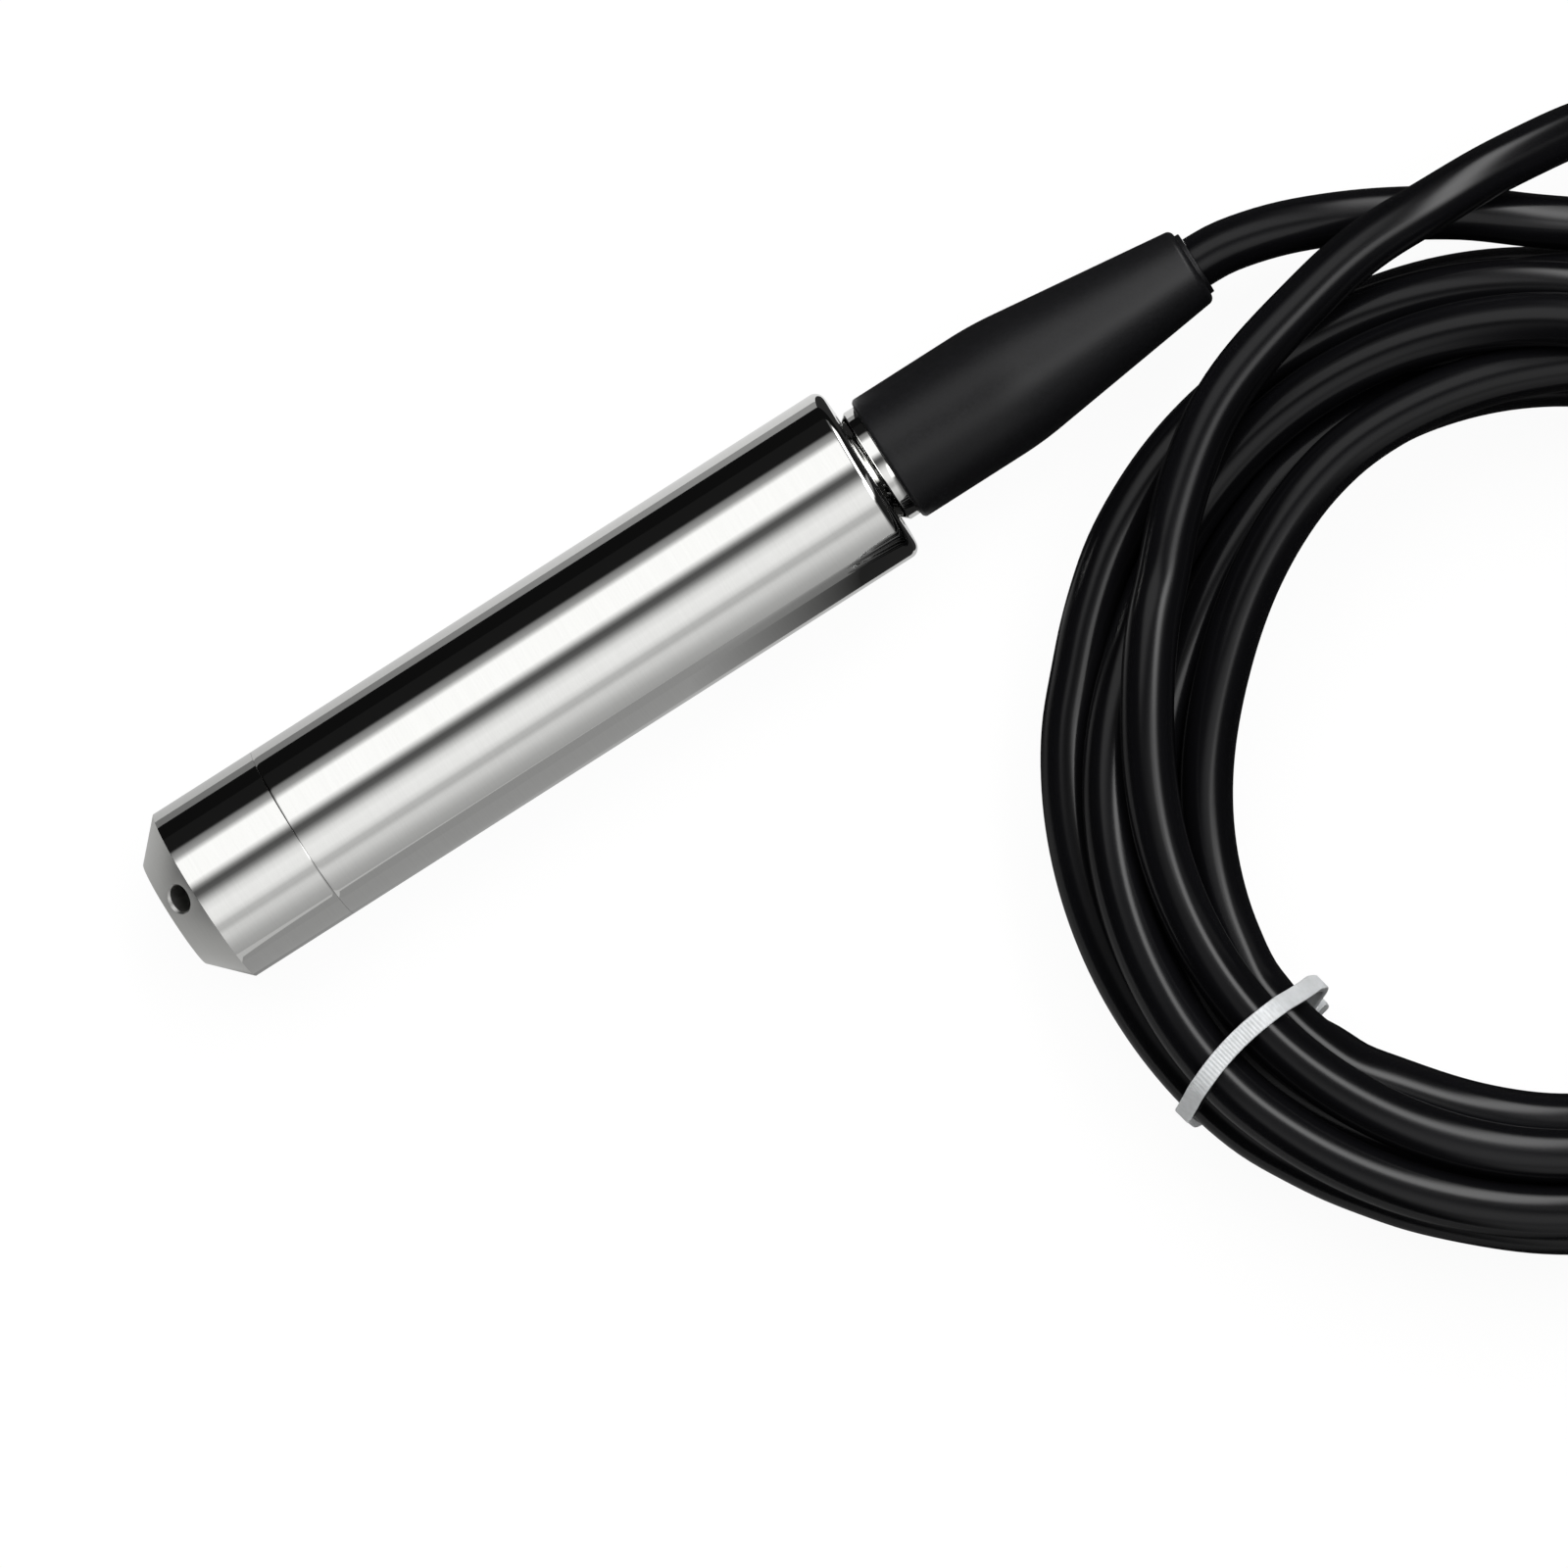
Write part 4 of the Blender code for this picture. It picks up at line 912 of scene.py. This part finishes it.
    def settle(self) -> Array:
        """Wind the coil and let its strands push each other a diameter apart.

        Points that lie a whole number of turns apart share a section of the bundle. In each round the
        winding is smoothed along itself, drawn a little to its guide, then every pair of a section
        that is too close moves apart along the line between them, and all stay above the floor, the
        strap and the tie's head, and between the bundle's edges. The last rounds do without the guide.

        Returns:
            Angles, radii and heights along the winding.
        """
        count = round((self.first_angle - self.last_angle + 360.0 * self.turns) / self.step) + 1
        angle = self.first_angle - self.step * np.arange(count)
        wish, free = self.guide(angle)
        place = wish.copy()
        lap = round(360.0 / self.step)
        apart = self.diameter + self.spare
        from_tie = (angle - self.tie_angle + 180.0) % 360.0 - 180.0
        floor = self.radius + self.strap_height * np.exp(-((from_tie / self.strap_reach) ** 2))
        at_tie = np.abs(from_tie) < self.head_span
        hold = free[:, None]
        least, most = self.limits(angle)
        inside = (angle <= self.lead_meets) & (angle > self.tail_meets - 360.0 * self.turns)
        for index in range(self.rounds):
            smooth = self.smoothing * (place[:-2] + place[2:] - 2 * place[1:-1])
            place[1:-1] += smooth * hold[1:-1]
            if index <= self.rounds * self.guided_share:
                place += self.pull * (wish - place) * hold
            for skip in range(lap, lap * (self.turns + 1), lap):
                one, two = place[:-skip], place[skip:]
                gap = two - one
                far = np.maximum(np.linalg.norm(gap, axis=1, keepdims=True), 1e-9)
                push = np.clip(apart - far, 0.0, None) * gap / far
                push /= np.maximum(hold[skip:] + hold[:-skip], 1.0)
                two += push * hold[skip:]
                one -= push * hold[:-skip]
            head = place[at_tie] - np.array(self.head_place)
            far = np.linalg.norm(head, axis=1, keepdims=True)
            need = self.head_reach + self.radius
            place[at_tie] += np.clip(need - far, 0.0, None) * head / far * hold[at_tie]
            place[:, 0] = np.where(inside, np.clip(place[:, 0], least, most), place[:, 0])
            place[:, 1] = np.where(free > 0, np.maximum(place[:, 1], floor), place[:, 1])
        return np.column_stack([angle, place])

    def route(self) -> Array:
        """Join the lead, the settled winding and the tail into one smooth, evenly stepped line."""
        wound = self.settle()
        turn = np.radians(wound[:, 0])
        x = self.coil_centre[0] + wound[:, 1] * np.cos(turn)
        y = self.coil_centre[1] + wound[:, 1] * np.sin(turn)
        coil = np.stack([x, y, wound[:, 2]], axis=-1)
        lead, tail = np.array(self.lead) * MM, np.array(self.tail) * MM
        before = lead[self.polar(lead)[:, 0] > self.first_angle + self.join_gap]
        after = tail[self.polar(tail)[:, 0] < self.last_angle - self.join_gap]
        line = spline(np.vstack([before, coil, after]), self.ring_spacing)
        return line + (EXIT[0], 0.0, 0.0)

    def build(self) -> Piece:
        """Make the cable as one tube.

        Returns:
            The cable, which stands for the CAD's lead, coil and tail.
        """
        self.line = self.route()
        piece = swept_piece("vented_cable", self.line, self.radius, self.sides, CABLE_SHEATH)
        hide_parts("cable_lead", "cable_coil", "cable_tail")
        return piece


@dataclass
class TailEnd:
    """The sleeve at the cable's cut end, its two cores with tinned tips and the vent capillary."""

    cable: Cable
    sleeve_length: float = 13.0 * MM
    sleeve_wall: float = 0.6 * MM
    sleeve_end_wall: float = 3.0 * MM
    fit: float = 0.25 * MM
    core_diameter: float = 1.5 * MM
    core_pitch: float = 2.0 * MM
    core_spacing: float = 0.8 * MM
    tip_length: float = 5.0 * MM
    tip_diameter: float = 1.02 * MM
    mesh_gap: float = 0.3 * MM
    cores: tuple = (
        ("red_core_lead", "tail_red_core", RED_INSULATION,
         ((83.1, -107.0, 4.2), (79.7, -115.5, 1.9), (73.9, -124.0, 1.1), (66.4, -130.5, 1.1))),
        ("black_core_lead", "tail_black_core", BLACK_INSULATION,
         ((85.1, -108.0, 4.0), (83.5, -118.0, 1.6), (80.7, -129.0, 1.1), (75.9, -139.5, 1.1))),
        ("vent_capillary_lead", "tail_vent_capillary", WHITE_PLASTIC,
         ((87.2, -108.0, 4.2), (87.3, -117.0, 1.8), (88.7, -126.0, 1.1), (91.5, -134.5, 1.1))),
    )

    def sleeve(self, start: Array, heading: Array) -> Piece:
        """Make the shrunk sleeve: a wall over the cable that draws in to a rounded nose round the cores."""
        outer = self.cable.radius + self.fit + self.sleeve_wall
        reach = np.linspace(0.0, self.sleeve_length, 40)
        shrink = np.clip((reach - self.sleeve_length) / self.sleeve_end_wall + 1.0, 0.0, 1.0)
        radii = outer - (outer - 2 * self.core_diameter) * shrink**2
        radii[0] -= self.sleeve_wall / 2
        line = start + reach[:, None] * heading
        piece = swept_piece("cable_end_sleeve", line, radii, 48, MOULDED_RUBBER)
        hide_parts("tail_end_sleeve")
        return piece

    def core(self, name: str, node: str, finish: Finish, line: Array) -> list[Piece]:
        """Make one core or the capillary along its line, with a tinned tip on a core."""
        bare = finish is not WHITE_PLASTIC
        length = lengths_along(line)[-1]
        keep = max(2, round(len(line) * (1 - self.tip_length / length))) if bare else len(line)
        piece = swept_piece(name, line[:keep], self.core_diameter / 2, 20, finish)
        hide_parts(node)
        if not bare:
            return [piece]
        return [piece, swept_piece(name + "_tip", line[keep - 2 :], self.tip_diameter / 2, 16, TINNED_COPPER)]

    def build(self) -> list[Piece]:
        """Make the sleeve and the three leads.

        Returns:
            The pieces, in order.
        """
        line = self.cable.line
        heading = unit(line[-1] - line[-4])
        depth = self.sleeve_length - self.sleeve_end_wall
        start = line[-1] - heading * (depth - self.mesh_gap)
        made = [self.sleeve(start, heading)]
        mouth = start + heading * (self.sleeve_length - self.mesh_gap)
        across = unit(np.cross(heading, (0.0, 0.0, 1.0)))
        for side, (name, node, finish, places) in enumerate(self.cores):
            first = mouth + across * (1 - side) * self.core_pitch
            rest = np.array(places) * MM + (EXIT[0], 0.0, 0.0)
            made += self.core(name, node, finish, spline(np.vstack([first, rest]), self.core_spacing))
        return made


@dataclass
class Tie:
    """The nylon cable tie: a ribbed strap round the bundle, its loop on the inner side and its head."""

    cable: Cable
    width: float = 2.6 * MM
    thickness: float = 1.0 * MM
    loop: float = 2.1 * MM
    loop_height: float = 9.5 * MM
    tilt: float = 0.17
    middle_height: float = 13.0 * MM
    bow: float = 2.5 * MM
    shift: float = -3.1 * MM
    span: tuple[float, float] = (44.0 * MM, 71.5 * MM)
    round_end: float = 2.4 * MM
    slack: float = 0.12 * MM
    rib_pitch: float = 0.5 * MM
    rib_depth: float = 0.12 * MM
    rib_steps: int = 6
    smooth_rounds: int = 200
    end_narrowing: float = 0.42
    corner: float = 0.22 * MM
    head_size: tuple[float, float, float] = (3.4 * MM, 3.8 * MM, 3.6 * MM)
    head_power: float = 2.0 / 7.0
    head_lift: float = 0.3 * MM

    def section(self) -> Array:
        """Return the strands' centres where the tie is: radii and heights in its own plane."""
        line = self.cable.line - (EXIT[0] + self.cable.coil_centre[0], self.cable.coil_centre[1], 0.0)
        turn = math.radians(self.cable.tie_angle)
        out = line[:, 0] * math.cos(turn) + line[:, 1] * math.sin(turn)
        aside = -line[:, 0] * math.sin(turn) + line[:, 1] * math.cos(turn) - self.shift
        hits = np.flatnonzero((aside[:-1] * aside[1:] <= 0) & (out[:-1] > 0))
        share = (aside[hits] / (aside[hits] - aside[hits + 1]))[:, None]
        flat = np.column_stack([out, line[:, 2]])
        return flat[hits] * (1 - share) + flat[hits + 1] * share

    def strap_line(self) -> Array:
        """Return the strap's inner face as a closed, evenly stepped loop in its plane.

        It is the outline of the strands' convex hull: in each direction u the farthest centre c gives
        the point c + r u. One more centre on the inner side holds the loop off the bundle.
        """
        centres = self.section()
        inner = centres[:, 0].min() - self.loop
        centres = np.vstack([centres, [[inner, self.loop_height]]])
        turn = circle(720)
        u = np.column_stack([np.cos(turn), np.sin(turn)])
        best = centres[np.argmax(u @ centres.T, axis=1)]
        hull = best + (self.cable.radius + self.slack) * u
        hull[:, 1] = np.maximum(hull[:, 1], self.thickness)
        closed = np.vstack([hull, hull[:1]])
        lengths = lengths_along(closed)
        count = self.rib_steps * round(lengths[-1] / self.rib_pitch)
        wanted = np.linspace(0.0, lengths[-1], count, endpoint=False)
        loop = np.column_stack([np.interp(wanted, lengths, closed[:, axis]) for axis in (0, 1)])
        for _ in range(self.smooth_rounds):
            loop = 0.5 * loop + 0.25 * (np.roll(loop, 1, axis=0) + np.roll(loop, -1, axis=0))
        return loop

    def in_place(self, out: Array, aside: Array, height: Array) -> Array:
        """Turn places in the tie's plane into X, Y and Z.

        Below its middle the loop leans along the cable; above it the strap bows, as bow (1 - q^2) with
        q from -1 to 1 across the bundle, and more the higher it lies.
        """
        low, high = self.span
        q = np.clip((2 * out - low - high) / (high - low), -1.0, 1.0)
        rise = np.clip(height / (2 * self.middle_height), 0.0, 1.0)
        lean = self.tilt * np.clip(self.middle_height - height, 0.0, None) - self.bow * rise * (1 - q**2)
        aside = aside + self.shift + lean
        turn = math.radians(self.cable.tie_angle)
        x = EXIT[0] + self.cable.coil_centre[0] + out * math.cos(turn) - aside * math.sin(turn)
        y = self.cable.coil_centre[1] + out * math.sin(turn) + aside * math.cos(turn)
        return np.stack([x, y, height], axis=-1)

    def strap(self) -> Piece:
        """Carry a rounded band section round the loop, with cross ribs raised on its outer face.

        A rib's height is a smooth wave along the loop, depth times (1 + cos(2 pi k / n)) / 2 at the
        k-th of n steps, and it fades towards the band's edges.
        """
        loop = self.strap_line()
        along = unit(np.roll(loop, -1, axis=0) - np.roll(loop, 1, axis=0))
        outward = np.column_stack([along[:, 1], -along[:, 0]])
        w, t = self.width / 2, self.thickness
        outline = eased([(-w, 0.0), (w, 0.0), (w, t), (-w, t)], self.corner, True, 4)
        top = np.clip((outline[:, 1] / t - 0.5) * 2, 0.0, 1.0)
        middle = np.clip(1.25 - np.abs(outline[:, 0]) / w, 0.0, 1.0)
        wave = (1 + np.cos(2 * math.pi * np.arange(len(loop)) / self.rib_steps)) / 2
        rise = outline[:, 1][None, :] + self.rib_depth * wave[:, None] * (top * middle)[None, :]
        rise = np.minimum(rise, t + self.rib_depth)
        out = loop[:, :1] + outward[:, :1] * rise
        height = loop[:, 1:] + outward[:, 1:] * rise
        ends = np.abs(loop[:, 0] - sum(self.span) / 2) - (self.span[1] - self.span[0]) / 2 + self.round_end
        narrow = 1 - self.end_narrowing * np.clip(ends / self.round_end, 0.0, 1.0) ** 2
        aside = narrow[:, None] * outline[:, 0][None, :]
        points = self.in_place(out, aside, np.maximum(height, 0.0))
        faces = [grid_faces(len(loop), len(outline), True, True)]
        piece = make_piece("nylon_tie_strap", points, faces, NATURAL_NYLON)
        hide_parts("cable_tie")
        return piece

    def head(self) -> Piece:
        """Carry a rounded wall section round a rounded rectangle: the lock head with its slot."""
        sx, sy, sz = self.head_size
        waves = (np.cos(circle(64)), np.sin(circle(64)))
        rim_x, rim_y = (np.sign(wave) * np.abs(wave) ** self.head_power for wave in waves)
        wall = eased([(0.0, 0.0), (1.0, 0.0), (1.0, sz), (0.0, sz)], 0.45 * MM, True, 5)
        slot_x, slot_y = self.thickness * 0.62, self.width * 0.56
        grow = wall[:, 0][:, None]
        out = rim_x * (slot_x + (sx / 2 - slot_x) * grow)
        aside = rim_y * (slot_y + (sy / 2 - slot_y) * grow)
        height = np.broadcast_to(wall[:, 1][:, None] + self.head_lift, out.shape)
        points = self.in_place(self.cable.head_place[0] + out, aside, height)
        return make_piece("nylon_tie_head", points, [grid_faces(len(wall), 64, True, True)], NATURAL_NYLON)

    def build(self) -> list[Piece]:
        """Make the strap and the head."""
        return [self.strap(), self.head()]


# ---- probe ----


@dataclass
class Nose:
    """The cone-ended cap with three drilled and countersunk ports into its pressure chamber."""

    face_radius: float = 8.0 * MM
    cone: float = 4.8 * MM
    radius: float = 13.0 * MM
    seam: float = 20.6 * MM
    wall: float = 4.5 * MM
    chamber_back: float = 9.0 * MM
    chamber_radius: float = 7.75 * MM
    cell_bore: float = 9.85 * MM
    spigot: float = 8.0 * MM
    spigot_radius: float = 10.85 * MM
    port_radius: float = 1.95 * MM
    port_count: int = 3
    first_port: float = math.radians(6.7)
    countersink: float = 0.35 * MM
    drill_lift: float = 0.6 * MM
    edge: float = 0.015 * MM
    hold: float = 0.6 * MM

    def body(self) -> Piece:
        """Turn the cap's outline, eased at every edge, with rings that keep the cylinder's shading true."""
        back = self.seam + self.spigot
        outline = [
            (self.wall, 0.0), (self.wall, self.chamber_radius), (self.chamber_back, self.chamber_radius),
            (self.chamber_back, self.cell_bore), (back, self.cell_bore), (back, self.spigot_radius),
            (self.seam, self.spigot_radius), (self.seam, self.radius), (self.seam - self.hold, self.radius),
            (self.cone + self.hold, self.radius), (self.cone, self.radius), (0.0, self.face_radius),
            (0.0, 0.0),
        ]
        return turned_piece("ported_nose_cap", eased(outline, self.edge, False, 4), TURNED_STEEL, False, 240)

    def drill(self, angle: float) -> Piece:
        """Turn a drill with a countersink on Z and lay it through the cone at an angle from the top."""
        rise = self.radius - self.face_radius
        slant = math.hypot(rise, self.cone)
        radial = Vector((0.0, math.sin(angle), math.cos(angle)))
        outward = radial * (self.cone / slant) - Vector((rise / slant, 0.0, 0.0))
        middle = Vector((NOSE_X + self.cone / 2, 0.0, AXIS_HEIGHT))
        centre = radial * (self.radius + self.face_radius) / 2 + middle
        reach, lift, sink = self.wall + self.port_radius, self.drill_lift, self.countersink
        outline = np.array([
            (-reach, 0.0), (-reach, self.port_radius), (-sink, self.port_radius),
            (lift, self.port_radius + sink + lift), (lift, 0.0),
        ])
        turn = circle(96)
        height, radius = outline[:, :1], outline[:, 1:]
        points = np.broadcast_arrays(radius * np.cos(turn), radius * np.sin(turn), height)
        faces = [grid_faces(len(outline), len(turn), False, True)]
        mesh = close_mesh(new_mesh("port_drill", np.stack(points, axis=-1), faces))
        mesh.transform(Matrix.Translation(centre) @ outward.to_track_quat("Z", "Y").to_matrix().to_4x4())
        return new_object("port_drill", mesh)

    def build(self) -> Piece:
        """Cut the ports and give the cylinder its polish.

        Returns:
            The cap.
        """
        piece = self.body()
        tools = [self.drill(angle) for angle in self.first_port + circle(self.port_count)]
        for tool in tools:
            cut = piece.modifiers.new("port", "BOOLEAN")
            cut.operation, cut.solver, cut.object = "DIFFERENCE", "EXACT", tool
        bpy.context.view_layer.update()
        drilled = bpy.data.meshes.new_from_object(piece.evaluated_get(bpy.context.evaluated_depsgraph_get()))
        piece.modifiers.clear()
        piece.data = drilled
        for tool in tools:
            bpy.data.objects.remove(tool)
        drilled.shade_smooth()
        drilled.set_sharp_from_angle(angle=math.radians(DRILLED_SHARP))
        drilled.materials.append(POLISHED_STEEL.material())
        self.polish(drilled)
        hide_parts("nose_cap")
        return piece

    def polish(self, mesh: Mesh) -> None:
        """Give the faces of the outer cylinder the polished finish."""
        count = len(mesh.polygons)
        centres, normals = np.zeros(3 * count), np.zeros(3 * count)
        mesh.polygons.foreach_get("center", centres)
        mesh.polygons.foreach_get("normal", normals)
        centres, normals = centres.reshape(-1, 3), normals.reshape(-1, 3)
        radius = np.hypot(centres[:, 1], centres[:, 2] - AXIS_HEIGHT)
        side = (np.abs(normals[:, 0]) < 0.3) & (radius > self.radius - 0.1 * MM)
        mesh.polygons.foreach_set("material_index", side.astype(np.int32))


@dataclass
class Tube:
    """The mirror-polished housing tube with its rounded rear edge."""

    start: float = 20.63 * MM
    end: float = 112.0 * MM
    radius: float = 13.0 * MM
    bore: float = 11.0 * MM
    neck_bore: float = 8.8 * MM
    shoulder: float = 2.5 * MM
    rear_fillet: float = 1.5 * MM
    edge: float = 0.01 * MM
    hold: float = 0.6 * MM

    def build(self) -> Piece:
        """Turn the tube's wall: a quarter circle at the rear edge, small breaks elsewhere.

        Two more rings near the ends keep the long cylinder's shading true.
        """
        bend = np.radians(np.linspace(90.0, 0.0, 14))
        f = self.rear_fillet
        rear = np.column_stack([self.end - f + f * np.cos(bend), self.radius - f + f * np.sin(bend)])
        step = self.end - self.shoulder
        e = self.edge
        rest = [
            (self.end, self.neck_bore + e), (self.end - e, self.neck_bore), (step, self.neck_bore),
            (step, self.bore), (self.start, self.bore), (self.start, self.radius - e / 2),
            (self.start + e, self.radius), (self.start + self.hold, self.radius),
            (self.end - f - self.hold, self.radius),
        ]
        outline = np.vstack([rear, rest])
        piece = turned_piece("polished_housing_tube", outline, POLISHED_STEEL, True, 320)
        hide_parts("housing_tube")
        return piece


@dataclass
class Fitting:
    """The plug, neck and stem behind the tube; only the grooved neck shows."""

    plug_front: float = 99.95 * MM
    plug_length: float = 9.5 * MM
    plug_radius: float = 10.85 * MM
    neck_radius: float = 8.5 * MM
    boot_front: float = 114.7 * MM
    stem_end: float = 130.2 * MM
    stem_radius: float = 6.45 * MM
    ring_pitch: float = 3.8 * MM
    groove_width: float = 2.4 * MM
    groove_depth: float = 1.5 * MM
    cable_bore: float = 3.9 * MM
    pocket: float = 5.25 * MM
    seat: float = 119.15 * MM
    neck_groove: tuple[float, float, float] = (111.6 * MM, 113.1 * MM, 1.1 * MM)
    edge: float = 0.12 * MM

    def build(self) -> Piece:
        """Turn the fitting with its two seal grooves and a groove beside the tube's end."""
        front, back = self.plug_front, self.plug_front + self.plug_length
        outline = [(front, self.cable_bore), (front, self.plug_radius)]
        for side in (-0.5, 0.5):
            centre = front + self.plug_length / 2 + side * self.ring_pitch
            low, high = centre - self.groove_width / 2, centre + self.groove_width / 2
            floor = self.plug_radius - self.groove_depth
            outline += [(low, self.plug_radius), (low, floor), (high, floor), (high, self.plug_radius)]
        low, high, deep = self.neck_groove
        outline += [
            (back, self.plug_radius), (back, self.neck_radius), (low, self.neck_radius),
            (low, self.neck_radius - deep), (high - deep, self.neck_radius - deep), (high, self.neck_radius),
            (self.boot_front, self.neck_radius), (self.boot_front, self.stem_radius),
            (self.stem_end, self.stem_radius), (self.stem_end, self.pocket), (self.seat, self.pocket),
            (self.seat, self.cable_bore),
        ]
        outline = eased(outline, self.edge, True, 4)
        piece = turned_piece("turned_rear_fitting", outline, POLISHED_STEEL, True, 192)
        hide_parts("rear_fitting")
        return piece


@dataclass
class Boot:
    """The moulded boot: straight over the gland, tapered to the cable, with a lip round it."""

    front: float = 114.7 * MM
    radius: float = 9.35 * MM
    straight: float = 19.0 * MM
    taper: float = 30.0 * MM
    blend: float = 3.0 * MM
    end_radius: float = 5.7 * MM
    end_fillet: float = 1.0 * MM
    chamfer: float = 0.4 * MM
    lip_radius: float = 4.6 * MM
    lip: float = 0.6 * MM
    lip_edge: float = 0.2 * MM
    stem_bore: float = 6.6 * MM
    cavity: float = 7.85 * MM
    nut_front: float = 7.55 * MM
    nut_back: float = 17.65 * MM
    cable_bore: float = 3.9 * MM

    def build(self) -> Piece:
        """Turn the boot: the taper blends in along a parabola, and the end is a quarter circle."""
        face = self.straight + self.taper
        slope = (self.radius - self.end_radius) / self.taper
        s = np.linspace(0.0, 1.0, 10)
        blend_x = self.straight - self.blend + 2 * self.blend * s
        blend_r = self.radius - slope * self.blend * s**2
        bend = np.radians(np.linspace(84.0, 0.0, 10))
        f = self.end_fillet
        end = np.column_stack([face - f + f * np.cos(bend), self.end_radius - f + f * np.sin(bend)])[:-1]
        c, r, tip = self.chamfer, self.radius, face + self.lip
        nose = eased([(0.0, r - 2.5 * c), (0.0, r - c), (c, r), (3 * c, r)], 0.5 * c, False, 4)
        corners = [
            (face, self.end_radius - f), (face, self.lip_radius), (tip, self.lip_radius),
            (tip, self.cable_bore), (face, self.cable_bore),
        ]
        lip = eased(corners, self.lip_edge, False, 4)
        inside = [
            (self.nut_back, self.cable_bore), (self.nut_back, self.cavity), (self.nut_front, self.cavity),
            (self.nut_front, self.stem_bore), (0.0, self.stem_bore),
        ]
        outline = np.vstack([nose, np.column_stack([blend_x, blend_r]), end, lip, inside])
        outline[:, 0] += self.front
        piece = turned_piece("moulded_cable_boot", outline, MOULDED_RUBBER, True, 256)
        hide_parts("cable_boot")
        return piece


@dataclass
class Inside:
    """The pieces inside the probe, which keep their CAD shapes and get their real finishes."""

    finishes: tuple[Finish, ...] = FINISHES

    def build(self) -> int:
        """Finish every CAD node by its slot.

        Returns:
            How many were finished.
        """
        by_slot = {finish.slot.value: finish for finish in self.finishes}
        rows = {row["node"]: row["material_slot"] for row in frame["record"]["subparts"]}
        for name, thing in frame["nodes"].items():
            thing.data.materials.clear()
            thing.data.materials.append(by_slot[rows[name]].material())
        return len(rows)


def main() -> None:
    """Build the studio and the whole part, and log each piece."""
    logging.basicConfig(level=logging.INFO, format="%(message)s")
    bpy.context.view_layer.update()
    Studio().build()
    cable = Cable()
    cord = cable.build()
    loose = TailEnd(cable).build() + Tie(cable).build()
    pieces = [cord, *loose, Nose().build(), Tube().build(), Fitting().build(), Boot().build()]
    for piece in pieces:
        LOG.info("built %s with %d faces", piece.name, len(piece.data.polygons))
    LOG.info("finished %d CAD nodes", Inside().build())


if __name__ == "__main__":
    main()
